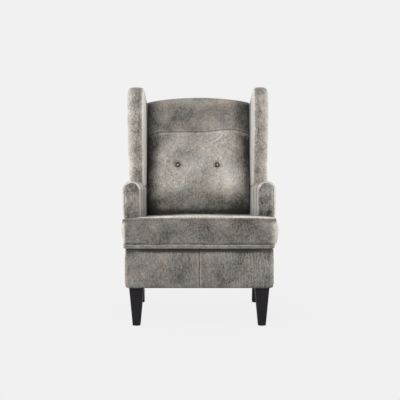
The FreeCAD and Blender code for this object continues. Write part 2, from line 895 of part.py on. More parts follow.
def make_deck():
    low = "rail_top + contact_gap"
    height = f"deck_height - ({low})"
    half = "arm_inside - contact_gap"
    middle = box("deck_middle", f"2 * ({half})", "frame_back - frame_front", height, f"-({half})", "frame_front", low)
    ear_depth = "arm_front - contact_gap - frame_front"
    ears = box("deck_ears", "2 * frame_half", ear_depth, height, "-frame_half", "frame_front", low)
    whole = fuse("deck_whole", middle, ears)
    spread = f"{(SPRING_COUNT - 1) / 2} * spring_pitch + spring_width / 2 + spring_bend * 2 + spring_wire"
    room = box(
        "spring_room", f"2 * ({spread})", "frame_back - frame_front - rail_thickness + clip_length + 2 * contact_gap",
        "clip_height + contact_gap", f"-({spread})",
        "frame_front + rail_thickness / 2 - clip_length / 2 - contact_gap", "rail_top",
    )
    keep("seat_deck", cut("seat_deck_cut", whole, room))


def make_webbing():
    """Straps across the front of the back frame and down it."""
    straps = []
    frame_top = number(up_lean("post_top - top_rail_height / 2"))
    frame_low = number(up_lean("rail_top + tuck_rail_lift"))
    half = size.post_inside + size.web_lap
    up = number(up_lean("tuft_height - web_below_tuft"))
    while up - size.web_pitch_up - size.web_width / 2 > frame_low:
        up -= size.web_pitch_up
    while up + size.web_width / 2 < frame_top:
        strap = Part.makeBox(2 * half, size.web_thickness, size.web_width)
        straps.append(strap.translated(Vector(-half, -size.web_thickness, up - size.web_width / 2)))
        up += size.web_pitch_up
    for place in (-1, 0, 1):
        strap = Part.makeBox(size.web_width, size.web_thickness, frame_top - frame_low)
        across = place * size.web_pitch_across - size.web_width / 2
        straps.append(strap.translated(Vector(across, -2 * size.web_thickness, frame_low)))
    item = shape_feature("back_webbing", Part.makeCompound(straps))
    item.Placement = lean_placement()
    keep("back_webbing", item)


# Back pad. Its outline from the side is lofted across the chair: at each share of the half width
# the front draws in and the top falls by a share of their whole amount.

ACROSS_SHARES = (0, 0.6, 0.88, 1)
DRAW_SHARES = (0, 0.09, 0.4, 1)
TOP_SHARES = (1, 0.64, 0.23, 0)
ROLL_SHARE = math.sqrt(0.5)
TUFT_FOLDS = 12
BUTTON_SHARES = ((1, 0), (1, 0.35), (0.75, 0.8), (0.3, 1))  # of the radius and of the dome


def chest_middle(draw, inset):
    """The point halfway up the chest, in front of the chord from waist to head."""
    base_back = size.front_plane + size.base_depth
    waist = Vector(0, base_back - size.waist_depth, size.waist_height)
    head = Vector(0, base_back - size.head_depth, size.back_height - size.head_roll)
    out = Vector(0, -(head - waist).z, (head - waist).y).normalize()
    return (waist + head) / 2 + out * (size.chest_bulge - inset) + Vector(0, draw, 0)


def back_section(x, draw, rise, inset, rear):
    """The back pad's closed outline at one place across the chair."""

    def point(depth, z):
        return Vector(x, size.front_plane + size.base_depth - depth + draw + inset, z)

    low = size.cushion_bottom - size.cut_overrun
    top = size.back_height + rise - inset
    roll = size.head_roll - inset
    foot = point(size.foot_depth, low)
    lumbar = point(size.lumbar_depth, size.lumbar_height)
    waist = point(size.waist_depth, size.waist_height)
    chest = chest_middle(draw, inset) + Vector(x, 0, rise / 2)
    head = point(size.head_depth, top - roll)
    crown = head + Vector(0, roll, roll)
    turn = head + Vector(0, roll * (1 - ROLL_SHARE), roll * ROLL_SHARE)
    rear_top = Vector(x, number(post_rear(str(top))) + rear, top)
    rear_low = Vector(x, number(post_rear(str(low))) + rear, low)
    return [
        arc_edge(foot, lumbar, waist),
        arc_edge(waist, chest, head),
        arc_edge(head, turn, crown),
        line_edge(crown, rear_top),
        line_edge(rear_top, rear_low),
        line_edge(rear_low, foot),
    ]


def back_form(inset, rear):
    """The back pad drawn in by an inset; it runs on below the deck, to be cut off there."""
    half = size.back_half - inset
    shares = list(zip(ACROSS_SHARES, DRAW_SHARES, TOP_SHARES))
    stations = [(-across, draw, top) for across, draw, top in reversed(shares[1:])] + shares
    sections = []
    for across, draw, top in stations:
        rise, drawn = size.back_crown * top, size.back_draw * draw
        sections.append(back_section(across * half, drawn, rise, inset, rear))
    return skin(sections)


def surface_back_at(height, across):
    """The place in Y of the pad's front at a height on the chest and a share of the half width."""
    draw = size.back_draw * DRAW_SHARES[1] * across / ACROSS_SHARES[1]
    section = back_section(0, draw, size.back_crown * TOP_SHARES[1], 0, 0)
    probe = line_edge(Vector(0, size.front_plane, height), Vector(0, size.base_depth, height))
    distance, pairs, _ = section[1].distToShape(probe)
    return pairs[0][0].y


def tuft_placements():
    """Where each button is sewn: on the pad's front, Z pointing out of the pad."""
    half = size.tuft_spacing / 2
    y = surface_back_at(size.tuft_height, half / size.back_half)
    run = size.back_height - size.head_roll - size.waist_height
    slope = math.degrees(math.atan((size.waist_depth - size.head_depth) / run))
    turn = Rotation(Vector(1, 0, 0), 90 - slope)
    return [Placement(Vector(side * half, y, size.tuft_height), turn) for side in (-1, 1)]


def placed(shape, placement):
    moved = shape.copy()
    moved.Placement = placement.multiply(moved.Placement)
    return moved


def cut_dimples(shape, inset):
    """Press the buttons' hollows into the pad: a flat seat, folds that spread from it and a hole."""
    seat = size.button_radius + size.contact_gap
    spread = 2 * (size.tuft_radius - seat)
    low, high = -size.tuft_depth - inset, size.tuft_depth - inset
    hollow = skin([ring(seat, low, TUFT_FOLDS), ring(seat + spread, high, TUFT_FOLDS)])
    hole = rod_shape(size.twine_radius + size.contact_gap, -size.base_depth / 2, size.base_depth / 2)
    for placement in tuft_placements():
        shape = shape.cut(placed(hollow, placement))
        shape = shape.cut(placed(hole, placement))
    return shape


def wide_box(low_y, high_y, low_z, high_z):
    width = 2 * size.arm_width
    start = Vector(-size.arm_width, low_y, low_z)
    return Part.makeBox(width, high_y - low_y, high_z - low_z, start)


def make_back(back_room):
    room = back_room.Shape
    over = size.cut_overrun
    low = size.cushion_bottom
    whole = cut_dimples(back_form(0, 0), 0)
    hollow = cut_dimples(back_form(size.cloth, over), size.cloth)
    cover = whole.cut(hollow).cut(room)
    seam, slit = size.yoke_seam, size.seam_slit / 2
    reach = 2 * size.base_depth
    below = wide_box(-reach, reach, low, seam - slit)
    above = wide_box(-reach, reach, seam + slit, size.wing_height)
    keep("back_cover", shape_feature("back_cover", cover.common(below)))
    keep("headrest_cover", shape_feature("headrest_cover", cover.common(above)))
    inset = size.cloth + size.contact_gap
    foam = cut_dimples(back_form(inset, 0), inset).cut(room)
    foam = foam.common(wide_box(-reach, reach, low, size.wing_height))
    keep("back_foam", shape_feature("back_foam", foam))


def make_tufts():
    """Covered buttons, the twine through the foam and the washers that it pulls on."""
    base = size.contact_gap - size.tuft_depth
    rings = []
    for wide, rise in BUTTON_SHARES:
        rings.append(ring(size.button_radius * wide, base + size.button_dome * rise, TUFT_FOLDS))
    button = skin(rings)
    rear = lean_placement()
    buttons, twines, washers = [], [], []
    for placement in tuft_placements():
        buttons.append(placed(button, placement))
        out = placement.Rotation.multVec(Vector(0, 0, 1))
        seat = rear.inverse().multVec(placement.Base)
        way = rear.Rotation.inverted().multVec(out)
        depth = (seat.y + size.web_front) / way.y
        length = depth + base + size.washer_thickness + size.twine_tail
        twine = rod_shape(size.twine_radius, base - length, length)
        twines.append(placed(twine, placement))
        through = seat - way * depth
        washer = rod_shape(size.washer_radius, 0, size.washer_thickness)
        washer = washer.cut(rod_shape(2 * size.twine_radius, 0, size.washer_thickness))
        washer.Placement = Placement(through, Rotation(Vector(1, 0, 0), -90))
        washers.append(placed(washer, rear))
    keep("tuft_buttons", shape_feature("tuft_buttons", Part.makeCompound(buttons)))
    keep("tuft_twine", shape_feature("tuft_twine", Part.makeCompound(twines)))
    keep("tuft_washers", shape_feature("tuft_washers", Part.makeCompound(washers)))


# Base


def make_border():
    """One half of the front border, rounded at its lower corner; the halves meet at a seam."""
    half, corner = "base_width / 2", "border_corner"
    top = "border_top"
    outline = [
        ("seam_slit / 2", "base_bottom"),
        (f"{half} - {corner}", "base_bottom", corner, 1),
        (half, f"base_bottom + {corner}"),
        (half, top),
        ("seam_slit / 2", top),
    ]
    border = slab("front_border", "XZ_Plane", outline, "front_plane", "border_thickness")

    def wanted(edge):
        return edge.BoundBox.YLength < size.contact_gap and near(middle_of(edge).y, size.front_plane)

    bevel_edges(border, "front_border_edges", wanted, "border_edge")
    keep_pair("front_border", border)


def leg_places():
    front = [(f"{side} * front_leg_x", "front_leg_place") for side in (-1, 1)]
    rear = [(f"{side} * rear_leg_x", "rear_leg_place") for side in (-1, 1)]
    return front + rear


def make_dust_cover():
    half, depth = "frame_half - dust_inset", "frame_back - frame_front - 2 * dust_inset"
    sheet = box(
        "dust_sheet", f"2 * ({half})", depth, "dust_thickness",
        f"-({half})", "frame_front + dust_inset", "leg_top",
    )
    holes = [
        rod("dust_hole", "dust_hole_radius", "2 * cut_overrun", x, y, "leg_top - cut_overrun")
        for x, y in leg_places()
    ]
    keep("dust_cover", cut("dust_cover_cut", sheet, *holes))


# Legs


def make_leg(label, x, top_y, foot_y, top_width, top_depth, foot):
    """A tapered leg: a wedge laid along Y and stood up, with its long edges bevelled."""
    body = doc.addObject("PartDesign::Body", label)
    body.Placement = Placement(Vector(), Rotation(Vector(1, 0, 0), 90))
    wedge = body.newObject("PartDesign::AdditiveWedge", f"{label}_wedge")
    sides = {
        "Xmin": f"{x} - {foot} / 2", "Xmax": f"{x} + {foot} / 2",
        "Ymin": "glide_height", "Ymax": "leg_top",
        "Zmin": f"-({foot_y}) - {foot} / 2", "Zmax": f"-({foot_y}) + {foot} / 2",
        "X2min": f"{x} - {top_width} / 2", "X2max": f"{x} + {top_width} / 2",
        "Z2min": f"-({top_y}) - {top_depth} / 2", "Z2max": f"-({top_y}) + {top_depth} / 2",
    }
    bind(wedge, sides)
    bevel_edges(body, f"{label}_edges", lambda edge: edge.BoundBox.YLength > size.leg_top / 2, "leg_edge")
    keep_pair(label, cut(f"{label}_cut", body, bolt_room(f"{label}_room", x, top_y)))


def make_legs():
    x, y = "front_leg_x", "front_leg_place"
    make_leg("front_leg", x, y, y, "front_leg_top", "front_leg_top", "front_leg_foot")
    x, y = "rear_leg_x", "rear_leg_place"
    foot_y = f"{y} + rear_leg_rake"
    make_leg("rear_leg", x, y, foot_y, "rear_leg_width", "rear_leg_depth", "rear_leg_foot")
    bolts, inserts, glides = [], [], []
    length = "bolt_in_leg + dust_thickness + bolt_in_frame"
    for x, y in leg_places():
        bolts.append(rod("leg_bolt", "bolt_radius", length, x, y, "leg_top - bolt_in_leg"))
        ring = rod("insert_ring", "insert_radius", "insert_height", x, y, "base_bottom")
        inserts.append(cut("leg_insert", ring, bolt_room("insert_hole", x, y)))
        foot_y = f"{y} + rear_leg_rake" if y == "rear_leg_place" else y
        glides.append(rod("leg_glide", "glide_radius", "glide_height", x, foot_y, "0"))
    keep("leg_bolts", group("leg_bolts", bolts))
    keep("leg_inserts", group("leg_inserts", inserts))
    keep("leg_glides", group("leg_glides", glides))


# Seat cushion. Its T outline is lofted from the bottom to the top: each station has a height and
# an inset. A shallow dome then crowns the top, so that the ears droop.

ROLL_STATION_SHARE = 0.3
WELT_SIDES = 4
FALL_POLES = (1, -1, 1)  # control heights of a parabola with its foot at the middle


def tee_points(inset):
    """The right half of the T outline: lines and arcs from the front's middle to the back's."""
    front = size.front_plane - size.cushion_overhang + size.cushion_bulge + inset
    wide = size.cushion_width / 2 - size.cushion_bulge - inset
    ear = size.arm_front - size.cushion_gap - size.cushion_bulge - inset
    body = size.arm_inside - size.cushion_gap - size.cushion_bulge - inset
    back = size.cushion_back - size.cushion_bulge - inset
    corner, notch = size.cushion_corner, size.notch_radius
    bend, notch_bend = corner * (1 - ROLL_SHARE), notch * (1 - ROLL_SHARE)
    return [
        [(wide - corner, front), (wide - bend, front + bend), (wide, front + corner)],
        [(wide, ear - corner), (wide - bend, ear - bend), (wide - corner, ear)],
        [(body + notch, ear), (body + notch_bend, ear + notch_bend), (body, ear + notch)],
        [(body, back - corner), (body - bend, back - bend), (body - corner, back)],
    ]


def tee_section(height, inset):
    arcs = tee_points(inset)
    left = [[(-x, y) for x, y in reversed(arc)] for arc in reversed(arcs)]
    spots = [[Vector(x, y, height) for x, y in arc] for arc in arcs + left]
    edges = []
    for place, arc in enumerate(spots):
        edges.append(arc_edge(*arc))
        edges.append(line_edge(arc[-1], spots[(place + 1) % len(spots)][0]))
    return edges


def crown_room(inset):
    """All that lies under the crown: a shallow dome that falls to the front, the back and the ears."""
    front, back = size.front_plane - size.cushion_overhang, size.cushion_back
    half_depth = (back - front) / 2 + size.cut_overrun
    half_width = size.cushion_width / 2 + size.cut_overrun
    peak = Vector(0, (front + back) / 2, size.cushion_top + size.cushion_crown - inset)
    dome = Part.BezierSurface()
    dome.increase(2, 2)
    for row, fall_back in enumerate(FALL_POLES):
        for column, fall_aside in enumerate(FALL_POLES):
            fall = size.cushion_crown * fall_back + size.cushion_droop * fall_aside
            spot = Vector((column - 1) * half_width, (row - 1) * half_depth, -fall)
            dome.setPole(row + 1, column + 1, peak + spot)
    return dome.toShape().extrude(Vector(0, 0, -2 * size.cushion_height))


def cushion_form(inset):
    """The crowned cushion drawn in by an inset on every side."""
    low, high = size.cushion_bottom + inset, size.cushion_top - inset
    roll, seam = size.cushion_roll, size.cushion_seam
    near_edge = roll * ROLL_STATION_SHARE
    stations = [
        (low, roll),
        (low + near_edge, near_edge),
        (size.cushion_bottom + seam, 0),
        ((low + high) / 2, -size.cushion_bulge),
        (size.cushion_top - seam, 0),
        (high - near_edge, near_edge),
        (high, roll),
        (high + 2 * size.cushion_crown, 2 * roll),
    ]
    sections = [tee_section(height, drawn + inset) for height, drawn in stations]
    return skin(sections).common(crown_room(inset))


def welt(height):
    """The covered cord in a seam, with a few flats round it."""
    edges = tee_section(height, -size.contact_gap)
    path = Part.Wire(edges[1:] + edges[:1])
    start, end = ends_of(edges[1])
    section = Part.Wire(ring(size.welt_radius, 0, WELT_SIDES))
    section.Placement = Placement(start, Rotation(Vector(0, 0, 1), end - start))
    return path.makePipeShell([section], True, False)


def zip_place():
    """The middle of the zip on the cushion's back."""
    return Vector(0, size.cushion_back, (size.cushion_bottom + size.cushion_top) / 2)


def zip_box(gap, front):
    middle = zip_place()
    length, width = size.zip_length + 2 * gap, size.zip_width + 2 * gap
    depth = size.cloth + size.zip_proud + front
    start = middle + Vector(-length / 2, -size.cloth - front, -width / 2)
    return Part.makeBox(length, depth, width, start)


def make_cushion():
    whole = cushion_form(0)
    foam = cushion_form(size.cloth + size.contact_gap)
    cover = whole.cut(cushion_form(size.cloth))
    reach = 2 * size.base_depth
    low_seam = size.cushion_bottom + size.cushion_seam
    high_seam = size.cushion_top - size.cushion_seam
    half = size.welt_radius + size.contact_gap
    boxing = cover.common(wide_box(-reach, reach, low_seam + half, high_seam - half))
    boxing = boxing.cut(zip_box(size.contact_gap, size.cut_overrun / 2))
    top = cover.common(wide_box(-reach, reach, high_seam + half, size.wing_height))
    bottom = cover.common(wide_box(-reach, reach, 0, low_seam - half))
    keep("cushion_foam", shape_feature("cushion_foam", foam))
    keep("cushion_boxing", shape_feature("cushion_boxing", boxing))
    keep("cushion_top_panel", shape_feature("cushion_top_panel", top))
    keep("cushion_bottom_panel", shape_feature("cushion_bottom_panel", bottom))
    keep("cushion_welt_top", shape_feature("cushion_welt_top", welt(high_seam)))
    keep("cushion_welt_bottom", shape_feature("cushion_welt_bottom", welt(low_seam)))


def make_zip():
    keep("cushion_zip", shape_feature("cushion_zip", zip_box(0, 0)))
    face = zip_place() + Vector(0, size.zip_proud + size.contact_gap, 0)
    left = -size.zip_length / 2 + size.zip_end
    slider = Part.makeBox(size.slider_length, size.slider_thickness, size.slider_height)
    slider = slider.translated(face + Vector(left, 0, -size.slider_height / 2))
    keep("zip_slider", shape_feature("zip_slider", slider))
    pull = Part.makeBox(size.pull_length, size.pull_thickness, size.pull_height)
    pull = pull.translated(face + Vector(left, size.slider_thickness, -size.pull_height / 2))
    along = left + size.pull_length - size.pull_height / 2
    hole = rod_shape(size.pull_hole, 0, size.pull_thickness)
    hole.Placement = Placement(face + Vector(along, size.slider_thickness, 0), Rotation(Vector(1, 0, 0), -90))
    keep("zip_pull", shape_feature("zip_pull", pull.cut(hole)))


def check_and_write():
    doc.recompute()
    for item in doc.Objects:
        failed = {"Invalid", "Error"} & set(item.State)
        if failed:
            raise RuntimeError(f"{item.Label} failed: {item.State}")
    os.makedirs("parts", exist_ok=True)
    for label, item in nodes.items():
        if item.Shape.isNull() or not item.Shape.isValid():
            raise RuntimeError(f"{label} has no valid shape")
        item.Shape.exportStep(f"parts/{label}.step")
    print(f"{len(nodes)} pieces written")


fill_sheets()
make_seat_frame()
make_corner_blocks()
make_back_frame()
make_arm_frame()
behind_back = tool_behind_back()
back_timber_room = tool_back_timber()
timber_rooms = wing_rooms()
arm_room = arm_form("arm_room", "(0 - contact_gap)", "cushion_bottom - cut_overrun", "arm_front")
make_wings(arm_room, back_timber_room, timber_rooms)
make_arms(behind_back, back_timber_room, timber_rooms)
make_outside_panels(behind_back)
make_springs()
make_deck()
make_webbing()
make_border()
make_dust_cover()
make_legs()
doc.recompute()
make_back(back_timber_room)
make_tufts()
make_cushion()
make_zip()
check_and_write()
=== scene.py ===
import math

import bmesh
import bpy
import numpy as np
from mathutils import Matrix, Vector, noise
from mathutils.bvhtree import BVHTree


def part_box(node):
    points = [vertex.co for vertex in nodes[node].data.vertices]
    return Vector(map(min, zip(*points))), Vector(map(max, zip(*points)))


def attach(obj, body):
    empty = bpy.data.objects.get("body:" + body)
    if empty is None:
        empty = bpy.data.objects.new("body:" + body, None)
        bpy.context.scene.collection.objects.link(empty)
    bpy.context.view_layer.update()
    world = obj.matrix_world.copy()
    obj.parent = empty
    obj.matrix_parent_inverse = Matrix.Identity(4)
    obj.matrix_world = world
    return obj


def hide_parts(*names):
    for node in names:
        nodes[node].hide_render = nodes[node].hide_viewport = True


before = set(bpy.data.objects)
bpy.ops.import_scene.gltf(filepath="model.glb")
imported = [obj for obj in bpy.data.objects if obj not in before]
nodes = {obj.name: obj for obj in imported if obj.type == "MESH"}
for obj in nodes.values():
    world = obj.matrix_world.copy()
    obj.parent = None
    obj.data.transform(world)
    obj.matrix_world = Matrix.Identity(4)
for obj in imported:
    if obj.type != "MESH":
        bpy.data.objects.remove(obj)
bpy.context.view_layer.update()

mm = 0.001
print("frame loaded:", len(nodes), "nodes")


# Shader nodes

class Shade:
    # one socket of a material's tree; sums and products of values add their own nodes
    def __init__(self, tree, socket=None):
        self.tree = tree
        self.socket = socket

    def add(self, kind, settings=None, values=None, out=0):
        made = self.tree.nodes.new(kind)
        for name, value in (settings or {}).items():
            if name == "stops":
                fillRamp(made.color_ramp, value)
            else:
                setattr(made, name, value)
        for name, value in (values or {}).items():
            if isinstance(value, Shade):
                self.tree.links.new(value.socket, made.inputs[name])
            else:
                made.inputs[name].default_value = value
        return Shade(self.tree, made.outputs[out])

    def maths(self, operation, one, two):
        return self.add("ShaderNodeMath", {"operation": operation}, {0: one, 1: two})

    def __add__(self, other):
        return self.maths("ADD", self, other)

    def __radd__(self, other):
        return self.maths("ADD", other, self)

    def __sub__(self, other):
        return self.maths("SUBTRACT", self, other)

    def __rsub__(self, other):
        return self.maths("SUBTRACT", other, self)

    def __mul__(self, other):
        return self.maths("MULTIPLY", self, other)

    def __rmul__(self, other):
        return self.maths("MULTIPLY", other, self)

    def ramp(self, low, high):
        # 0 below low, 1 above high, smooth between
        ends = {"From Min": low, "From Max": high, "Value": self}
        return self.add("ShaderNodeMapRange", {"interpolation_type": "SMOOTHSTEP"}, ends)

    def blend(self, one, two):
        # from colour one to colour two as this value goes from 0 to 1
        settings = {"data_type": "RGBA", "clamp_factor": True}
        return self.add("ShaderNodeMix", settings, {0: self, 6: one, 7: two}, 2)


def fillRamp(ramp, stops):
    while len(ramp.elements) < len(stops):
        ramp.elements.new(0.5)
    for element, (place, colour) in zip(ramp.elements, stops):
        element.position = place
        element.color = colour


def newMaterial(name, fill):
    # fill gets the tree and says what goes into the shader's sockets
    material = bpy.data.materials.new(name)
    material.use_nodes = True
    tree = material.node_tree
    shader = tree.nodes["Principled BSDF"]
    for socket, value in fill(Shade(tree)).items():
        if isinstance(value, Shade):
            tree.links.new(value.socket, shader.inputs[socket])
        else:
            shader.inputs[socket].default_value = value
    return material


def stretchedNoise(tree, place, scale, stretch=(1, 1, 1), detail=3, rough=0.6, shift=(0, 0, 0)):
    moved = tree.add("ShaderNodeMapping", None, {"Vector": place, "Scale": stretch, "Location": shift})
    values = {"Vector": moved, "Scale": scale, "Detail": detail, "Roughness": rough}
    return tree.add("ShaderNodeTexNoise", None, values)


velvetLook = {
    # colours from the deepest painted shade and crushed nap to the brightest painted highlight and pale nap, each
    # with its place from 0 to 1
    "stops": [
        (0.0, (0.006, 0.0056, 0.0052, 1)), (0.34, (0.052, 0.048, 0.043, 1)), (0.5, (0.255, 0.235, 0.212, 1)),
        (0.66, (0.47, 0.436, 0.396, 1)), (0.93, (0.86, 0.82, 0.76, 1)),
    ],
    "spread": 0.1667,  # how far a value of 1 moves along the colours
    # clouds in the nap, coarse to fine: scale, detail, roughness, place in the noise, weight
    "layers": {
        "blotch": (10, 3, 0.55, (0, 0, 0), 2.4),
        "mottle": (40, 4, 0.6, (3, 1, 2), 1.0),
        "speck": (128, 3, 0.65, (1, 7, 4), 2.2),
        "streak": (190, 4, 0.7, (0, 0, 0), 2.5),
        "pile": (720, 2, 0.6, (0, 0, 0), 1.1),
    },
    "middle": 4.6,  # half of the weights, so that the clouds lie around 0
    "calm": {"wear": -1.8, "least": 0.5},  # cloth whose painted shade and crushed nap reach this far below 0 keeps this share of its clouds
    "lightGain": {"speck": 0.9, "all": 0.55},  # how much the painted light and shade, with the nap's own rubbing, lightens or darkens the specks and the whole
    "comb": {"Scale": 24.0, "Distortion": 9.0, "Detail": 3.0, "Detail Scale": 1.3},
    "combFrom": (0.02, 0.12),  # the combed lines come in between these places to the right
    "tintScale": 8,
    "tintEdge": (0.38, 0.62),
    "cool": (0.98, 1.0, 1.015, 1),
    "warm": (1.014, 1.0, 0.972, 1),
    # share of each layer and of the fine creases in the cloth's height
    "relief": {"pile": 0.35, "streak": 0.5, "mottle": 0.8},
    "crease": {"scale": 95.0, "turn": (0.4, 0.7, 0.3), "width": 0.12, "relief": 0.25},
    "bump": {"Strength": 0.5, "Distance": 0.0016},
    "roughness": 0.86,
    "sheen": 0.5,
    "sheenRoughness": 0.36,
    "sheenTint": (1.0, 0.975, 0.94, 1),
}


def velvetLayers(tree, place, nap):
    # the noises of the nap and their weighted sum around 0
    layers, clouds = {}, None
    for layer, (scale, detail, rough, shift, weight) in velvetLook["layers"].items():
        stretch = nap if layer == "streak" else (1, 1, 1)
        layers[layer] = stretchedNoise(tree, place, scale, stretch, detail, rough, shift)
        clouds = layers[layer] * weight if clouds is None else clouds + layers[layer] * weight
    return layers, clouds - velvetLook["middle"]


def velvetHeight(tree, place, layers):
    # the cloth's height: pile, streaks and mottling, with fine creases between cells
    crease = velvetLook["crease"]
    turned = tree.add("ShaderNodeMapping", None, {"Vector": place, "Rotation": crease["turn"]})
    settings = {"feature": "DISTANCE_TO_EDGE"}
    cells = tree.add("ShaderNodeTexVoronoi", settings, {"Vector": turned, "Scale": crease["scale"]})
    height = cells.ramp(0.0, crease["width"]) * crease["relief"]
    for layer, share in velvetLook["relief"].items():
        height = height + layers[layer] * share
    return height


def velvetMaterial(name, tone=0.0, contrast=1.0, nap=(1, 1, 0.35), waves=0.0, sheen=None):
    # tone lifts or lowers the whole cloth, partly as painted light and shade for the piece, nap stretches its
    # streaks; a piece's own painted light and shade, with some of the nap's rubbing, comes from its points
    look = velvetLook

    def fill(tree):
        place = tree.add("ShaderNodeTexCoord", None, None, 3)
        layers, clouds = velvetLayers(tree, place, nap)
        # the painted light and shade kept in the piece's points
        toneShift = tree.add("ShaderNodeAttribute", {"attribute_type": "GEOMETRY", "attribute_name": "wear"}, None, 2)
        least = look["calm"]["least"]
        calm = toneShift.ramp(look["calm"]["wear"], 0.0) * (1 - least) + least
        paintedLight = toneShift * (layers["speck"] * look["lightGain"]["speck"] + look["lightGain"]["all"])
        value = clouds * contrast * calm + tone + paintedLight
        if waves:
            settings = {"wave_type": "BANDS", "bands_direction": "X"}
            combed = tree.add("ShaderNodeTexWave", settings, {"Vector": place, **look["comb"]}, 1)
            value = value + (combed - 0.5) * waves * axisOf(tree, place, 0).ramp(*look["combFrom"])
        colour = tree.add("ShaderNodeValToRGB", {"stops": look["stops"]}, {"Fac": value * look["spread"] + 0.5})
        shift = stretchedNoise(tree, place, look["tintScale"], detail=3, shift=(2, 9, 5)).ramp(*look["tintEdge"])
        tint = shift.blend(look["cool"], look["warm"])
        settings = {"data_type": "RGBA", "blend_type": "MULTIPLY"}
        bump = {"Height": velvetHeight(tree, place, layers), **look["bump"]}
        return {
            "Base Color": tree.add("ShaderNodeMix", settings, {0: 1.0, 6: colour, 7: tint}, 2),
            "Roughness": look["roughness"] - layers["streak"] * 0.12,
            "Specular IOR Level": 0.12,
            "Sheen Weight": look["sheen"] if sheen is None else sheen,
            "Sheen Roughness": look["sheenRoughness"],
            "Sheen Tint": look["sheenTint"],
            "Normal": tree.add("ShaderNodeBump", None, bump),
        }

    return newMaterial(name, fill)


def axisOf(tree, place, which):
    # one of a place's coordinates
    return tree.add("ShaderNodeSeparateXYZ", None, {"Vector": place}, which)


# each piece's tone stands partly for its nap and partly for how much light falls on it: lit and shaded copies of one
# velvet, painted light and shade
velvet = velvetMaterial("velvet")
velvetWing = velvetMaterial("velvetWing", tone=0.15, contrast=1.2)
velvetBack = velvetMaterial("velvetBack", tone=0.46, contrast=1.2)
velvetHead = velvetMaterial("velvetHead", tone=0.2, contrast=0.9)
velvetSeat = velvetMaterial("velvetSeat", tone=-0.36, contrast=0.64)
velvetSeatTopShaded = velvetMaterial("velvetSeatTopShaded", tone=-0.45, contrast=0.9, nap=(1, 0.3, 1), sheen=0.1)
velvetBorder = velvetMaterial("velvetBorder", tone=-0.3, contrast=0.7, waves=0.3)
velvetWelt = velvetMaterial("velvetWelt", tone=0.15)
velvetArm = velvetMaterial("velvetArm", tone=0.02, nap=(1, 0.3, 1))
velvetFacing = velvetMaterial("velvetFacing", tone=-0.2, contrast=0.95)
print("velvet ready")


# Woods, metals and the plain cloths inside

def woodMaterial(name, dark, light, scale, roughness, coat, alongGrain):
    def fill(tree):
        place = tree.add("ShaderNodeTexCoord", None, None, 3)
        grain = stretchedNoise(tree, place, scale, alongGrain, 6, 0.65)
        pore = stretchedNoise(tree, place, scale * 6, alongGrain, 3, 0.7, (5, 5, 5))
        value = grain * 1.3 + pore * 0.5 - 0.4
        bump = tree.add("ShaderNodeBump", None, {"Height": pore, "Strength": 0.25, "Distance": 0.0004})
        return {
            "Base Color": value.blend(dark, light),
            "Roughness": roughness + grain * 0.2,
            "Specular IOR Level": 0.2,
            "Coat Weight": coat,
            "Coat Roughness": 0.3,
            "Normal": bump,
        }

    return newMaterial(name, fill)


def plainMaterial(name, colour, roughness, metal=0.0, scale=300, change=0.3, stretch=(1, 1, 1), depth=0.0003):
    def fill(tree):
        place = tree.add("ShaderNodeTexCoord", None, None, 3)
        spots = stretchedNoise(tree, place, scale, stretch, 4)
        low = tuple(part * (1 - change) for part in colour[:3]) + (1,)
        high = tuple(min(part * (1 + change), 1) for part in colour[:3]) + (1,)
        bump = tree.add("ShaderNodeBump", None, {"Height": spots, "Strength": 0.3, "Distance": depth})
        return {
            "Base Color": spots.ramp(0.3, 0.7).blend(low, high),
            "Roughness": roughness - 0.1 + spots * 0.2,
            "Metallic": metal,
            "Normal": bump,
        }

    return newMaterial(name, fill)


def wovenMaterial(name, warpColour, weftColour, threads, roughness=0.85):
    # two sets of threads, over and under, along the piece's own axes
    def fill(tree):
        place = tree.add("ShaderNodeTexCoord", None, None, 3)
        bands = []
        for direction in ("X", "Y", "Z"):
            settings = {"wave_type": "BANDS", "bands_direction": direction}
            bands.append(tree.add("ShaderNodeTexWave", settings, {"Vector": place, "Scale": threads}, 1))
        weave = tree.maths("MAXIMUM", bands[0] * bands[1], bands[0] * bands[2])
        weave = tree.maths("MAXIMUM", weave, bands[1] * bands[2])
        toneShift = stretchedNoise(tree, place, 60, detail=4)
        value = weave * 0.8 + toneShift * 0.4 - 0.1
        bump = tree.add("ShaderNodeBump", None, {"Height": weave, "Strength": 0.6, "Distance": 0.0005})
        return {"Base Color": value.blend(weftColour, warpColour), "Roughness": roughness, "Normal": bump}

    return newMaterial(name, fill)


# dark and light colour, scale, roughness, coat, stretch along the grain
legWood = woodMaterial(
    "darkStainedWood", (0.003, 0.0024, 0.0037, 1), (0.009, 0.007, 0.009, 1), 60, 0.5, 0.02, (1, 1, 0.08),
)
frameWood = woodMaterial("beechWood", (0.42, 0.26, 0.14, 1), (0.62, 0.43, 0.26, 1), 40, 0.6, 0.0, (1, 0.12, 0.3))
springSteel = plainMaterial("springSteel", (0.42, 0.42, 0.44, 1), 0.35, 1.0, 500)
blackPlastic = plainMaterial("blackPlastic", (0.03, 0.03, 0.032, 1), 0.5)
glidePlastic = plainMaterial("glidePlastic", (0.06, 0.058, 0.055, 1), 0.45)
zipMetal = plainMaterial("zipMetal", (0.30, 0.28, 0.26, 1), 0.32, 1.0, 900, 0.2)
boltSteel = plainMaterial("boltSteel", (0.55, 0.54, 0.5, 1), 0.4, 1.0, 400)
zipTape = wovenMaterial("zipTape", (0.14, 0.135, 0.13, 1), (0.07, 0.068, 0.065, 1), 700)
webCloth = wovenMaterial("webCloth", (0.52, 0.40, 0.26, 1), (0.20, 0.12, 0.07, 1), 330)
cambric = wovenMaterial("cambric", (0.035, 0.035, 0.037, 1), (0.012, 0.012, 0.013, 1), 420)
deckCloth = wovenMaterial("deckCloth", (0.20, 0.192, 0.18, 1), (0.11, 0.105, 0.10, 1), 380)
twineCloth = plainMaterial("twine", (0.6, 0.55, 0.45, 1), 0.8, 0.0, 900)

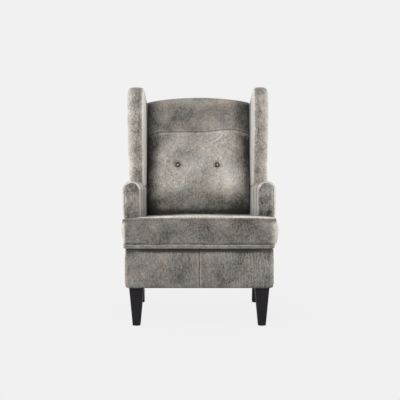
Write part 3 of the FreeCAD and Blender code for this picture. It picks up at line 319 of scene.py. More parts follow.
plainNodes = [
    (frameWood, [
        "front_seat_rail", "back_seat_rail", "side_seat_rail_left", "side_seat_rail_right", "tuck_rail",
        "front_corner_blocks", "rear_corner_blocks", "back_post_left", "back_post_right", "back_top_rail",
        "arm_post_left", "arm_post_right", "arm_rail_left", "arm_rail_right", "wing_board_left",
        "wing_board_right",
    ]),
    (legWood, ["front_leg_left", "front_leg_right", "rear_leg_left", "rear_leg_right"]),
    (springSteel, ["seat_springs"]),
    (blackPlastic, ["spring_clips"]),
    (glidePlastic, ["leg_glides"]),
    (webCloth, ["back_webbing"]),
    (cambric, ["dust_cover"]),
    (boltSteel, ["leg_bolts", "leg_inserts", "tuft_washers"]),
    (twineCloth, ["tuft_twine"]),
    (zipMetal, ["zip_slider", "zip_pull"]),
]
for material, names in plainNodes:
    for name in names:
        slots = nodes[name].data.materials
        slots.clear()
        slots.append(material)
print("wood, metal and lining ready")


# Meshes

def finishPiece(name, mesh, near):
    # merges points nearer than that, turns the faces outwards and puts the smooth piece into the scene
    work = bmesh.new()
    work.from_mesh(mesh)
    bmesh.ops.remove_doubles(work, verts=work.verts, dist=near)
    bmesh.ops.recalc_face_normals(work, faces=work.faces)
    work.to_mesh(mesh)
    work.free()
    mesh.polygons.foreach_set("use_smooth", [True] * len(mesh.polygons))
    return intoScene(name, mesh)


def intoScene(name, data):
    thing = bpy.data.objects.new(name, data)
    bpy.context.scene.collection.objects.link(thing)
    return thing


def newPiece(name, points, faces):
    # points in millimetres
    mesh = bpy.data.meshes.new(name)
    mesh.from_pydata((np.asarray(points, float) * mm).tolist(), [], faces)
    return finishPiece(name, mesh, 0.02 * mm)


def ringStack(name, rings):
    # a closed skin through a stack of rings, with a point in the middle of each end
    rings = np.asarray(rings, float)
    rows, columns, _ = rings.shape
    points = np.vstack([rings.reshape(-1, 3), rings[0].mean(0), rings[-1].mean(0)])
    low, high, last = rows * columns, rows * columns + 1, (rows - 1) * columns
    faces = []
    for column in range(columns):
        after = (column + 1) % columns
        for row in range(rows - 1):
            start = row * columns
            faces.append((start + column, start + after, start + columns + after, start + columns + column))
        faces.append((low, after, column))
        faces.append((high, last + column, last + after))
    return newPiece(name, points, faces)


def closedSheet(name, front, back):
    # a front and a back grid of points, joined round their edges
    rows, columns, _ = front.shape
    count = rows * columns
    faces = []
    for row in range(rows - 1):
        for column in range(columns - 1):
            start = row * columns + column
            quad = (start, start + 1, start + columns + 1, start + columns)
            faces.append(quad)
            faces.append(tuple(count + place for place in reversed(quad)))
    rim = list(range(columns)) + [row * columns + columns - 1 for row in range(1, rows)]
    rim += [(rows - 1) * columns + column for column in range(columns - 2, -1, -1)]
    rim += [row * columns for row in range(rows - 2, 0, -1)]
    for one, two in zip(rim, rim[1:] + rim[:1]):
        faces.append((one, count + one, count + two, two))
    return newPiece(name, np.vstack([front.reshape(-1, 3), back.reshape(-1, 3)]), faces)


def smoothStep(value, low, high):
    # 0 below low, 1 above high, smooth between
    share = np.clip((np.asarray(value, float) - low) / (high - low), 0, 1)
    return share * share * (3 - 2 * share)


def closerAtEnds(low, high, count):
    # from low to high, closer together towards both
    return low + (high - low) * (1 - np.cos(np.linspace(0, math.pi, count))) / 2


def cornered(corners, steps=7):
    # an outline through corners (x, y, length of its rounding)
    made = []
    for place, (x, y, reach) in enumerate(corners):
        corner = np.array([x, y], float)
        before = np.array(corners[place - 1][:2], float) - corner
        after = np.array(corners[(place + 1) % len(corners)][:2], float) - corner
        start = corner + before / np.hypot(*before) * reach
        end = corner + after / np.hypot(*after) * reach
        for share in np.linspace(0, 1, steps):
            made.append(start * (1 - share) ** 2 + corner * 2 * share * (1 - share) + end * share ** 2)
    return np.array(made)


def evenly(outline, count):
    # the same closed outline in even steps
    closed = np.vstack([outline, outline[:1]])
    along = np.r_[0, np.cumsum(np.hypot(*np.diff(closed, axis=0).T))]
    at = np.linspace(0, along[-1], count, endpoint=False)
    return np.column_stack([np.interp(at, along, closed[:, 0]), np.interp(at, along, closed[:, 1])])


def drawnIn(outline, inset):
    # a left-hand outline moved inwards
    ahead = np.roll(outline, -1, 0) - np.roll(outline, 1, 0)
    length = np.hypot(ahead[:, 0], ahead[:, 1])[:, None]
    return outline + np.column_stack([-ahead[:, 1], ahead[:, 0]]) / length * inset


def insetLine(outline, inset):
    # moved inwards by more than its corners' size, without the loops this makes there
    moved = drawnIn(outline, inset)
    gaps = np.hypot(moved[:, None, 0] - outline[:, 0], moved[:, None, 1] - outline[:, 1]).min(1)
    return evenly(moved[gaps > inset - 0.5], len(outline))


def shrunk(outline, middle, share):
    # the same outline at a share of its size round its middle
    return np.asarray(middle) + (outline - np.asarray(middle)) * share


def bumpy(points, scale, amount, seed):
    # soft unevenness of stuffed cloth, one number for each point in millimetres
    shift = Vector((seed * 7.3, seed * 3.1, seed * 5.7))
    return np.array([noise.noise(Vector(point) * (mm * scale) + shift) for point in points]) * amount


def shapeOut(piece, scale, amount, seed, mask):
    # moves a piece's points along their normals by that unevenness, where the mask lets it
    mesh = piece.data
    count = len(mesh.vertices)
    points, normals = np.zeros(count * 3), np.zeros(count * 3)
    mesh.vertices.foreach_get("co", points)
    mesh.vertices.foreach_get("normal", normals)
    points, normals = points.reshape(-1, 3), normals.reshape(-1, 3)
    move = bumpy(points / mm, scale, amount, seed) * mm * mask(points / mm)
    mesh.vertices.foreach_set("co", (points + normals * move[:, None]).ravel())
    mesh.update()


def wear(piece, rule):
    # painted light and shade at each point, with some of the nap's own rubbing: a painted highlight above 0, painted
    # shade below 0
    mesh = piece.data
    points = np.zeros(len(mesh.vertices) * 3)
    mesh.vertices.foreach_get("co", points)
    layer = mesh.attributes.new("wear", "FLOAT", "POINT")
    layer.data.foreach_set("value", np.asarray(rule(points.reshape(-1, 3) / mm), np.float32))


def bell(value, middle, reach):
    # 1 at the middle, near 0 at twice the reach
    return np.exp(-(((value - middle) / reach) ** 2))


def dress(piece, material, body, replaced=()):
    # gives a piece its cloth, body, slot and the nodes it stands for
    piece.data.materials.clear()
    piece.data.materials.append(material)
    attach(piece, body)
    if replaced:
        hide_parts(*replaced)


def mirrored(points):
    # on the chair's other side
    return np.asarray(points) * np.array([-1, 1, 1])


bothSides = (("right", np.asarray), ("left", mirrored))


# What repeats or follows a path: cords in seams and stitches

def pathTree(name, build):
    # a Geometry Nodes tree with a curve in and a mesh out
    tree = bpy.data.node_groups.new(name, "GeometryNodeTree")
    tree.interface.new_socket("Geometry", in_out="INPUT", socket_type="NodeSocketGeometry")
    tree.interface.new_socket("Geometry", in_out="OUTPUT", socket_type="NodeSocketGeometry")
    for label, kind in build["inputs"]:
        tree.interface.new_socket(label, in_out="INPUT", socket_type=kind)
    start = tree.nodes.new("NodeGroupInput")
    end = tree.nodes.new("NodeGroupOutput")
    realize = tree.nodes.new("GeometryNodeRealizeInstances")
    paint = tree.nodes.new("GeometryNodeSetMaterial")
    tree.links.new(build["nodes"](tree, start), realize.inputs[0])
    tree.links.new(realize.outputs[0], paint.inputs["Geometry"])
    tree.links.new(start.outputs["Material"], paint.inputs["Material"])
    tree.links.new(paint.outputs[0], end.inputs[0])
    return tree


def cordNodes(tree, start):
    # a round cord along the curve
    circle = tree.nodes.new("GeometryNodeCurvePrimitiveCircle")
    circle.inputs["Resolution"].default_value = 10
    sweep = tree.nodes.new("GeometryNodeCurveToMesh")
    tree.links.new(start.outputs["Radius"], circle.inputs["Radius"])
    tree.links.new(start.outputs["Geometry"], sweep.inputs["Curve"])
    tree.links.new(circle.outputs[0], sweep.inputs["Profile Curve"])
    sweep.inputs["Fill Caps"].default_value = True
    return sweep.outputs[0]


def stitchNodes(tree, start):
    # one small drop of thread for each step of the curve
    split = tree.nodes.new("GeometryNodeResampleCurve")
    split.mode = "LENGTH"
    drop = tree.nodes.new("GeometryNodeMeshUVSphere")
    drop.inputs["Segments"].default_value = 6
    drop.inputs["Rings"].default_value = 5
    drop.inputs["Radius"].default_value = 1.0
    tangent = tree.nodes.new("GeometryNodeInputTangent")
    align = tree.nodes.new("FunctionNodeAlignRotationToVector")
    align.axis = "X"
    place = tree.nodes.new("GeometryNodeInstanceOnPoints")
    size = tree.nodes.new("ShaderNodeCombineXYZ")
    tree.links.new(start.outputs["Geometry"], split.inputs["Curve"])
    tree.links.new(start.outputs["Pitch"], split.inputs["Length"])
    tree.links.new(split.outputs[0], place.inputs["Points"])
    tree.links.new(drop.outputs[0], place.inputs["Instance"])
    tree.links.new(tangent.outputs[0], align.inputs["Vector"])
    tree.links.new(align.outputs[0], place.inputs["Rotation"])
    tree.links.new(start.outputs["Half Length"], size.inputs[0])
    tree.links.new(start.outputs["Thickness"], size.inputs[1])
    tree.links.new(start.outputs["Thickness"], size.inputs[2])
    tree.links.new(size.outputs[0], place.inputs["Scale"])
    return place.outputs[0]


cordTree = pathTree("cordAlongPath", {
    "inputs": [("Radius", "NodeSocketFloat"), ("Material", "NodeSocketMaterial")], "nodes": cordNodes,
})
stitchTree = pathTree("stitchesAlongPath", {
    "inputs": [
        ("Pitch", "NodeSocketFloat"), ("Half Length", "NodeSocketFloat"), ("Thickness", "NodeSocketFloat"),
        ("Material", "NodeSocketMaterial"),
    ],
    "nodes": stitchNodes,
})


def alongPaths(name, tree, paths, closed, values):
    # runs a tree over paths of points in millimetres and keeps the result as a plain mesh
    curve = bpy.data.curves.new(name + "Path", "CURVE")
    curve.dimensions = "3D"
    for path in paths:
        spline = curve.splines.new("POLY")
        spline.points.add(len(path) - 1)
        flat = np.column_stack([np.asarray(path, float) * mm, np.ones(len(path))])
        spline.points.foreach_set("co", flat.ravel())
        spline.use_cyclic_u = closed
    guide = intoScene(name + "Guide", curve)
    modifier = guide.modifiers.new("build", "NODES")
    modifier.node_group = tree
    for item in tree.interface.items_tree:
        if item.in_out == "INPUT" and item.name in values:
            modifier[item.identifier] = values[item.name]
    ready = guide.evaluated_get(bpy.context.evaluated_depsgraph_get())
    mesh = bpy.data.meshes.new_from_object(ready)
    mesh.name = name
    bpy.data.objects.remove(guide)
    bpy.data.curves.remove(curve)
    return finishPiece(name, mesh, 0.005 * mm)


def stitchValues(size, material):
    # what the tree of stitches takes in, from sizes in millimetres
    values = {"Pitch": size["pitch"], "Half Length": size["half"], "Thickness": size["thick"]}
    values = {name: value * mm for name, value in values.items()}
    return dict(values, Material=material)


# Back: the padded front below the yoke seam and the headrest over it

back = {
    "half": 263.4,
    "low": 341,
    "thick": 65.3,  # from the outside back to the pad's rear
    "lumbar": ([300, 480, 610], [181, 168, 179]),  # heights, and the pad's place in Y there
    "chest": {"low": 610, "high": 1037, "lean": 83, "hollow": 28},
    "draw": 34,  # how far the sides fall back
    "crown": 23,
    "top": 1052,
    "roll": 38,
    "under": 29,  # from the headrest's top down to the rail it lies on
    "seam": [
        (-262, 870), (-210, 886), (-142, 890), (-38, 890), (40, 893), (95, 897), (140, 903), (212, 897), (262, 882),
    ],
    "seamDepth": 3.4,
    "seamReach": 4.2,
    "buttons": [(-105.5, 721), (95.5, 721)],
    "buttonDepth": 13,
    "buttonSpread": 27,
    # folds in the pad: start, end, depth, width
    "folds": [
        ((134, 895), (70, 836), 3.4, 5.5), ((110, 893), (62, 858), 2.0, 4.5),
        ((-236, 500), (-160, 560), 2.0, 12), ((240, 505), (150, 590), 1.8, 12),
    ],
    # painted highlights along folds: start, end, amount, width
    "brightFolds": [
        ((134, 895), (70, 836), 0.95, 4), ((118, 897), (52, 852), 0.76, 3.5), ((150, 890), (98, 842), 0.57, 3.5),
    ],
    # patches of painted light and shade, partly the nap's own tone: x, z, reach, brighter above 0
    "patches": [
        (-165, 645, 60, 0.8), (175, 645, 80, 0.6), (30, 790, 110, 0.45), (110, 800, 70, 0.35), (-60, 845, 50, 0.2),
        (-100, 770, 45, -0.35), (10, 640, 60, -0.3), (-40, 700, 40, 0.35), (0, 865, 90, -0.25),
        (-170, 835, 60, -0.5), (75, 640, 26, 0.35), (-60, 620, 30, 0.3), (215, 700, 30, 0.3), (30, 730, 35, 0.3),
    ],
    # points across and up the pad, and up, round and over the headrest
    "columns": 121,
    "rows": 150,
    "headRows": {"climb": 96, "turn": 22, "over": 16},
    "rearLean": 0.0989,
    "rearFoot": (284, 170),  # the outside back's place in Y at this height
}


def backLean(z):
    # the outside back's place in Y at a height
    place, height = back["rearFoot"]
    return place + back["rearLean"] * (z - height)


def backFront(x, z):
    # the middle of the pad: lumbar roll, hollow at the waist and a chest that leans back to the head
    chest, (heights, places) = back["chest"], back["lumbar"]
    lumbar = np.polyval(np.polyfit(heights, places, 2), z)
    share = (z - chest["low"]) / (chest["high"] - chest["low"])
    upper = places[-1] + chest["lean"] * share - chest["hollow"] * share * (1 - share)
    blend = smoothStep(z, 585, 640)
    side = np.abs(x) / back["half"]
    drawn = 0.34 * side ** 4 + 0.66 * (1 - np.sqrt(np.clip(1 - side ** 9, 0, 1)))
    return lumbar * (1 - blend) + upper * blend + back["draw"] * drawn


def buttonPull(x, z):
    # the hollow round each button, with short folds that run out of it
    pull = np.zeros_like(x)
    for buttonX, buttonZ in back["buttons"]:
        away = np.hypot(x - buttonX, z - buttonZ)
        turn = np.arctan2(z - buttonZ, x - buttonX)
        fold = 0.7 * np.cos(5 * turn + buttonX) + 0.5 * np.cos(8 * turn + 1.3)
        pull += back["buttonDepth"] * np.exp(-((away / back["buttonSpread"]) ** 1.3))
        pull += 7 * bell(away, 10.5, 2.6) + fold * bell(away, 26, 17) + 2.2 * bell(away, 0, 70)
    return pull


def crease(x, z, start, end, depth, width):
    # a fold line from start to end that fades at its ends
    start, end = np.array(start, float), np.array(end, float)
    way = end - start
    share = ((x - start[0]) * way[0] + (z - start[1]) * way[1]) / (way @ way)
    bow = 0.08 * np.hypot(*way) * np.sin(np.clip(share, 0, 1) * math.pi)
    aside = ((x - start[0]) * -way[1] + (z - start[1]) * way[0]) / np.hypot(*way) - bow
    fade = smoothStep(share, -0.05, 0.2) * (1 - smoothStep(share, 0.6, 1.1))
    return fade * depth * (bell(aside, 0, width) - 0.55 * bell(aside, 2.2 * width, 1.6 * width))


def seamHeight(x):
    # the yoke seam's height across the back
    places, heights = zip(*back["seam"])
    return np.polyval(np.polyfit(places, heights, 7), np.clip(x, places[0], places[-1]))


def sideShade(x, left, right):
    # painted shade on the pad's sides, in the dark between pad and wing, the right one from further in
    return -left * smoothStep(-x, 172, 258) - right * smoothStep(x, 140, 256) - 0.8 * smoothStep(np.abs(x), 256, 263)


def backShading(points):
    # painted light on the chest, in the patches and along the folds, with some of the nap's own tone; painted shade
    # beside the wings, round the buttons, at the yoke seam, on the right side and behind the seat
    x, z = points[:, 0], points[:, 2]
    bright = 0.6 * smoothStep(z, 500, 620) - 1.3 * (1 - smoothStep(z, 420, 610))
    bright = bright - 0.35 * (1 - smoothStep(z, 478, 512)) - 0.3 * (1 - smoothStep(z, 486, 504))
    bright = bright - 0.2 * bell(z, 560, 35) - 0.12 * bell(z, 850, 45)
    for middleX, middleZ, reach, amount in back["patches"]:
        bright = bright + amount * bell(np.hypot(x - middleX, z - middleZ), 0, reach)
    for start, end, amount, width in back["brightFolds"]:
        bright = bright + crease(x, z, start, end, amount, width)
    for buttonX, buttonZ in back["buttons"]:
        away = np.hypot(x - buttonX, z - buttonZ)
        bright = bright - 2.0 * bell(away, 10.5, 2.6) - 0.5 * bell(away, 0, 26) + 0.3 * bell(away, 34, 14)
    below = seamHeight(x) - z
    bright = bright + 0.4 * bell(below, 7, 5) - 0.35 * bell(below, 0, 2.5)
    bright = bright - 0.5 * smoothStep(x, 212, 245) * smoothStep(z, 540, 640) * (1 - smoothStep(z, 820, 870))
    high = smoothStep(z, 520, 640)
    return bright + sideShade(x, 1.0 + 1.15 * high - 0.3 * smoothStep(z, 740, 820), 0.65 + 0.85 * high)


def headShading(points):
    # painted highlight along the top and light in the middle, painted shade at the seam and beside the wings
    x, z = points[:, 0], points[:, 2]
    above = z - seamHeight(x)
    bright = -0.35 * bell(above, 0, 2.5) + 0.3 * bell(above, 7, 5) + 0.5 * smoothStep(z, 1010, 1060)
    return bright + 0.4 * bell(x, 60, 90) * bell(z, 935, 40) + sideShade(x, 0.7, 0.93)


def puckered(x, beyond, amount, reach, waves):
    # how the cloth gathers beside the yoke seam, at a distance beyond it
    fine, sway, broad = waves
    ripple = np.sin(x * fine + sway * np.sin(x * broad))
    return ripple * amount * np.exp(-beyond / reach) * smoothStep(beyond, 2, 9)


def makePad(side):
    x = np.tile(side * back["half"], (back["rows"], 1))
    seam = seamHeight(x)
    share = np.linspace(0, 1, back["rows"]) ** 0.85
    z = back["low"] + (seam - back["low"]) * share[:, None]
    below = seam - z
    y = backFront(x, z) + buttonPull(x, z) + back["seamDepth"] * np.exp(-below / back["seamReach"])
    y += puckered(x, below, 1.1, 26, (0.16, 2, 0.043))
    for start, end, depth, width in back["folds"]:
        y += crease(x, z, start, end, depth, width)
    flat = np.column_stack([x.ravel(), y.ravel(), z.ravel()])
    uneven = (bumpy(flat, 9, 5.0, 1) + bumpy(flat, 24, 1.6, 2)).reshape(y.shape)
    y = y + uneven * smoothStep(np.abs(x), 262, 215)
    rear = np.stack([x, np.maximum(backLean(z) - back["thick"], y + 6), z], -1)
    piece = closedSheet("back_pad", np.stack([x, y, z], -1), rear)
    wear(piece, backShading)
    dress(piece, velvetBack, "chair_frame", ["back_cover", "back_foam"])


def makeHeadrest(side):
    # up from the seam, over the top rail and down behind it
    climb, turn, over = back["headRows"].values()
    rows, columns = climb + turn + over, back["columns"]
    across = side * back["half"]
    x = np.tile(across, (rows, 1))
    seam = seamHeight(across) + 0.8
    top = back["top"] + back["crown"] * (1 - side ** 2)
    head = top - back["roll"]
    headY = backFront(across, head)
    front = np.zeros((rows, columns, 3))
    rear = np.zeros((rows, columns, 3))
    front[..., 0] = rear[..., 0] = x
    for row in range(climb):
        z = seam + (head - seam) * (row / (climb - 1)) ** 1.25
        above = z - seam
        y = backFront(across, z) + back["seamDepth"] * np.exp(-above / back["seamReach"])
        y += puckered(across, above, 0.9, 22, (0.14, 1.7, 0.051))
        y -= 5 * bell(z, 960, 46) * (1 - side ** 4)
        front[row, :, 1], front[row, :, 2] = y, z
        rear[row, :, 1], rear[row, :, 2] = backLean(z) - back["thick"], z
    low = top - back["under"]
    for step in range(turn):
        row, share = climb + step, (step + 1) / turn
        angle = share * math.pi / 2
        front[row, :, 1] = headY + back["roll"] * (1 - math.cos(angle))
        front[row, :, 2] = head + back["roll"] * math.sin(angle)
        z = head + (low - head) * share
        rear[row, :, 1], rear[row, :, 2] = backLean(z) - back["thick"], z
    edge, last, start = headY + back["roll"], backLean(top) - 11, backLean(top) - back["thick"]
    for step in range(over):
        row, share = climb + turn + step, (step + 1) / over
        front[row, :, 1] = edge + (last - edge) * share
        front[row, :, 2] = top - 5 * share ** 3
        rear[row, :, 1] = start + (last - start) * share
        rear[row, :, 2] = low + 6 * share
    flat = front.reshape(-1, 3)
    uneven = (bumpy(flat, 9, 4.0, 3) + bumpy(flat, 26, 1.5, 4)).reshape(rows, columns)
    front[..., 1] += uneven * smoothStep(np.abs(x), 262, 220) * 0.8
    piece = closedSheet("headrest_pad", front, rear)
    wear(piece, headShading)
    dress(piece, velvetHead, "chair_frame", ["headrest_cover"])


def makeBack():
    side = closerAtEnds(-1, 1, back["columns"])
    makePad(side)
    makeHeadrest(side)


makeBack()
print("back ready")


# Covered buttons, pulled in with their rims

button = {
    "radius": 8.6, "dome": 6.5, "sink": 7.5, "steps": 28,
    # from the dome's top to its rear: share of the radius, share of the dome
    "outline": [(0.45, 0.93), (0.72, 0.74), (0.9, 0.42), (1.0, 0.1), (1.03, -0.12), (0.95, -0.3), (0.5, -0.34)],
}


def makeButtons():
    chest = back["chest"]
    tilt = math.atan2(chest["lean"], chest["high"] - chest["low"])
    turn = np.linspace(0, 2 * math.pi, button["steps"], endpoint=False)
    parts = []
    for x, z in back["buttons"]:
        y = float(backFront(np.array(x), np.array(z))) + button["sink"]
        rings = []
        for wide, rise in button["outline"]:
            away, out = button["radius"] * wide, -button["dome"] * rise
            up = away * np.sin(turn)
            leanY = out * math.cos(tilt) + up * math.sin(tilt)
            leanZ = -out * math.sin(tilt) + up * math.cos(tilt)
            rings.append(np.column_stack([x + away * np.cos(turn), y + leanY, z + leanZ]))
        parts.append(ringStack("tuftButton", rings))
    join(parts, "tuft_buttons_covered")
    wear(parts[0], buttonShading)
    dress(parts[0], velvetWelt, "chair_frame", ["tuft_buttons"])


def buttonShading(points):
    # painted highlight in the middle, painted shade at the rim
    away = np.minimum(*[np.hypot(points[:, 0] - x, points[:, 2] - z) for x, z in back["buttons"]])
    return 1.3 * (1 - smoothStep(away, 2, 6.5)) - 2.2 * smoothStep(away, 5.5, 8.5)


def join(parts, name):
    # all parts in the first one
    work = bmesh.new()
    for part in parts:
        work.from_mesh(part.data)
    work.to_mesh(parts[0].data)
    work.free()
    for part in parts[1:]:
        bpy.data.objects.remove(part)
    parts[0].name = parts[0].data.name = name
    parts[0].data.polygons.foreach_set("use_smooth", [True] * len(parts[0].data.polygons))


makeButtons()
print("buttons ready")


# Arms: a padded roll with a flat facing let into its front

arm = {
    "inside": 264.2,
    "outside": 344,
    "roll": (304, 595, 40),  # middle, height and reach of the round top
    "middle": (304, 500),
    "steps": 150,
    "rear": 300,
    "bandSeam": -158,
    "low": 333.5,
    "facingSide": (3.6, 10.5),  # the facing's sides inside the arm's
    # outline up the outside as x, z
    "sideLine": [(312.5, 466), (338.5, 469), (342.6, 484), (343.6, 530), (344, 590)],
    # rounding of the front: y, inset
    "front": [
        (-247, 12.6), (-252, 11.8), (-256.8, 9.6), (-258.4, 6.6), (-257.2, 3.4), (-253.5, 1.0), (-248, 0.1),
    ],
    # rounding of the facing: y, inset
    "facing": [(-247.6, 0.5), (-252, 0), (-256.5, 0.2), (-258.6, 1.6), (-259.6, 4)],
}


def armTop(x):
    # the arm's roll at a place across the chair
    middle, height, reach = arm["roll"]
    return height + np.sqrt(np.clip(reach ** 2 - (np.abs(x) - middle) ** 2, 0, None))


def armOutline():
    # from the front, as points (x, z)
    points = [(arm["inside"], arm["low"]), (arm["sideLine"][0][0], arm["low"])] + arm["sideLine"]
    for angle in np.linspace(0, 1, 30) * math.pi:
        points.append((304.1 + 39.9 * math.cos(angle), 595 + 40 * math.sin(angle)))
    return evenly(np.array(points), arm["steps"])


def facingOutline(inner, outer):
    # the flat panel's outline inside the roll
    left, right = arm["inside"] + inner, arm["outside"] - outer
    middle, reach = (left + right) / 2, (right - left) / 2
    points = [(left, arm["low"]), (right - 8, arm["low"]), (right - 5, 470), (right - 1.5, 540)]
    for angle in np.linspace(0, 1, 30) * math.pi:
        points.append((middle + reach * math.cos(angle), 588 + (reach + 8) * math.sin(angle)))
    return evenly(np.array(points), arm["steps"])


def acrossRing(outline, y, inset, share=1.0, middle=arm["middle"]):
    # a ring in the plane across the arm at a place in Y
    flat = shrunk(drawnIn(outline, inset), middle, share)
    return np.column_stack([flat[:, 0], np.full(len(flat), y), flat[:, 1]])


def bandGroove(y):
    # the seam that joins the arm's front band to its length
    return 1.9 * bell(y, arm["bandSeam"], 1.4) - 0.9 * bell(y, arm["bandSeam"] + 6, 4)


def makeArms():
    outline = armOutline()
    startY, startInset = arm["front"][0]
    rings = [acrossRing(outline, startY, startInset + 0.4, share) for share in (0.1, 0.5, 0.9)]
    rings += [acrossRing(outline, y, inset) for y, inset in arm["front"]]
    places = list(np.linspace(-241, -171, 12)) + [-167, -164, -162, -160.5, -158.8, -157.2, -155.5, -153]
    places += list(np.linspace(-149, arm["rear"], 64))
    rings += [acrossRing(outline, y, bandGroove(y)) for y in places]
    rings += [acrossRing(outline, arm["rear"] + 0.5, 0, share) for share in (0.9, 0.5, 0.1)]
    for ring in rings:
        # the rear end leans with the outside back
        ring[:, 1] += (backLean(ring[:, 2]) - 11.2 - arm["rear"]) * smoothStep(ring[:, 1], 150, arm["rear"])

    panel = facingOutline(*arm["facingSide"])
    centre = panel.mean(0)
    (backY, _), (faceY, faceInset) = arm["facing"][0], arm["facing"][-1]
    plates = [acrossRing(panel, backY, 1, share, centre) for share in (0.1, 0.5, 0.95)]
    plates += [acrossRing(panel, y, inset) for y, inset in arm["facing"]]
    plates += [
        acrossRing(panel, faceY - 1.5 * (1 - share ** 2), faceInset, share, centre)
        for share in np.linspace(0.96, 0.04, 16)
    ]
    for side, flip in bothSides:
        piece = ringStack(f"arm_dressed_{side}", [flip(ring) for ring in rings])
        shapeOut(piece, 12, 1.6, 11 if side == "right" else 12, armSoft)
        wear(piece, armShading)
        dress(piece, velvetArm, "chair_frame", [f"arm_cover_{side}", f"arm_pad_{side}"])
        piece = ringStack(f"arm_facing_dressed_{side}", [flip(ring) for ring in plates])
        shapeOut(piece, 18, 1.0, 13 if side == "right" else 14, facingSoft)
        wear(piece, facingShading)
        dress(piece, velvetFacing, "chair_frame", [f"arm_facing_{side}"])


def facingSoft(points):
    # only the flat panel's face is uneven
    return 1 - smoothStep(points[:, 1], -259.5, -257)


def armShading(points):
    # painted highlights: a bright rim round the facing, a light double line at the band's seam and a lit inner wall;
    # painted shade in the seam, in bands along the inner wall, towards the back and low inside by the seat
    x, y, z = np.abs(points[:, 0]), points[:, 1], points[:, 2]
    outerSide = smoothStep(x, np.where(points[:, 0] < 0, 320, 308), 343)
    rim = (1 - smoothStep(y, -256, -236)) * (0.1 + 1.3 * np.maximum(outerSide, smoothStep(z, 590, 625)))
    seam = 0.5 * bell(np.abs(y - arm["bandSeam"]), 5, 2.6) - 1.6 * bell(y, arm["bandSeam"], 2.2)
    inside = 1 - smoothStep(x, 266, 285)
    lines = 1.45 - 2.0 * bell(y, -172, 13) - 2.2 * bell(y, -8, 16) - 0.5 * bell(y, -90, 10)
    lines = lines - 3.6 * smoothStep(y, 110, 190)
    edge = -0.7 * (1 - smoothStep(x, 272, 284)) * (1 - smoothStep(y, -250, -232)) * (1 - smoothStep(z, 590, 615))
    return rim + seam + edge + inside * lines - 0.8 * inside * (1 - smoothStep(z, 485, 520))


def facingShading(points):
    # painted highlights at the sides, painted shade towards the seat; painted light and shade at the top, darker on
    # the left and lighter on the right
    x, z = np.abs(points[:, 0]), points[:, 2]
    top = np.where(points[:, 0] < 0, -0.3, 0.12) * smoothStep(z, 548, 575)
    sides = 0.8 * smoothStep(x, 322, 331) + 0.15 * (1 - smoothStep(x, 268, 274))
    return top + sides - 0.5 * (1 - smoothStep(z, 480, 530))


def armSoft(points):
    # the inside of the arm keeps clear of the cushion that slides past it
    across = np.abs(points[:, 0])
    outer = smoothStep(across, 275, 300)
    high = smoothStep(points[:, 2], 480, 560)
    return outer * high * (1 - smoothStep(points[:, 1], 0, 20))


# Wings, which stand on the arms

wing = {
    "inside": 266.2,
    "outside": 337.6,
    "middle": (150, 850),
    "steps": 260,
    "taper": 0.02,
    "flare": {"left": 5.5, "right": -3.0},  # how far each head stands wider than its foot
    # the front's rounding from the inner wall over the flat strip to the board outside: x, inset
    "front": [
        (266.2, 19), (266.6, 14), (268, 9.6), (270.6, 5.8), (274.6, 2.8), (279, 1.0), (284, 0.0),
        (290, -0.7), (298, -1.2), (306, -1.3), (314, -0.7), (320, 0.4),
        (325.5, 2.0), (330, 4.4), (333.6, 7.8), (336.2, 12), (337.6, 16.4), (336.6, 19), (332, 20.5),
    ],
    "board": (327.9, 21.5),
    # the outside panel's edge, from the board to its face: x, inset
    "panel": [(328.3, 23), (334, 22.6), (336.2, 24), (337.2, 26), (337.6, 29)],
    "panelLow": 617.8,
    # the front edge from the side: a foot, a bend to the head between two heights, and the crown
    "foot": 19, "bend": 47, "bendLow": 640, "bendHigh": 900,
    "crown": 1094, "crownRear": 1052,
}


def wingOutline(low=600):
    # from the side, as points (y, z)
    foot, crown, rear = wing["foot"], wing["crown"], wing["crownRear"]
    head = foot - wing["bend"]
    height = wing["bendHigh"] - wing["bendLow"]
    points = [(foot, low), (foot, wing["bendLow"])]
    for share in np.linspace(0.05, 1, 20):
        points.append((foot - wing["bend"] * float(smoothStep(share, 0, 1)), wing["bendLow"] + height * share))
    points += [(head, 960), (head, 1015)]
    for angle in np.linspace(0.05, 1, 12) * math.pi / 2:
        points.append((42 - 70 * math.cos(angle), crown - 71 + 71 * math.sin(angle)))
    points.append((84, crown))
    for share in np.linspace(0.05, 1, 16):
        points.append((84 + 210 * share, crown - (crown - rear) * float(smoothStep(share, 0, 1))))
    points += [(backLean(rear) - 10.6, rear), (backLean(low) - 10.6, low)]
    return evenly(np.array(points[::-1]), wing["steps"])


def wingTaper(points):
    # the outside falls in a little towards the arm
    share = 1 - wing["taper"] * (1 - smoothStep(points[:, 2], 640, 930))
    points[:, 0] = wing["inside"] + (points[:, 0] - wing["inside"]) * share
    return points


def wingRing(outline, x, inset, share=1.0, puff=0.0, flare=0.0):
    # one ring of a wing's skin, kept off the arm's roll
    ring = shrunk(drawnIn(outline, inset), wing["middle"], share)
    points = wingTaper(np.column_stack([np.full(len(ring), x - puff), ring]))
    points[:, 0] += flare * smoothStep(points[:, 2], 636, 705)
    points[:, 2] = np.maximum(points[:, 2], armTop(points[:, 0]) + 0.6)
    return points


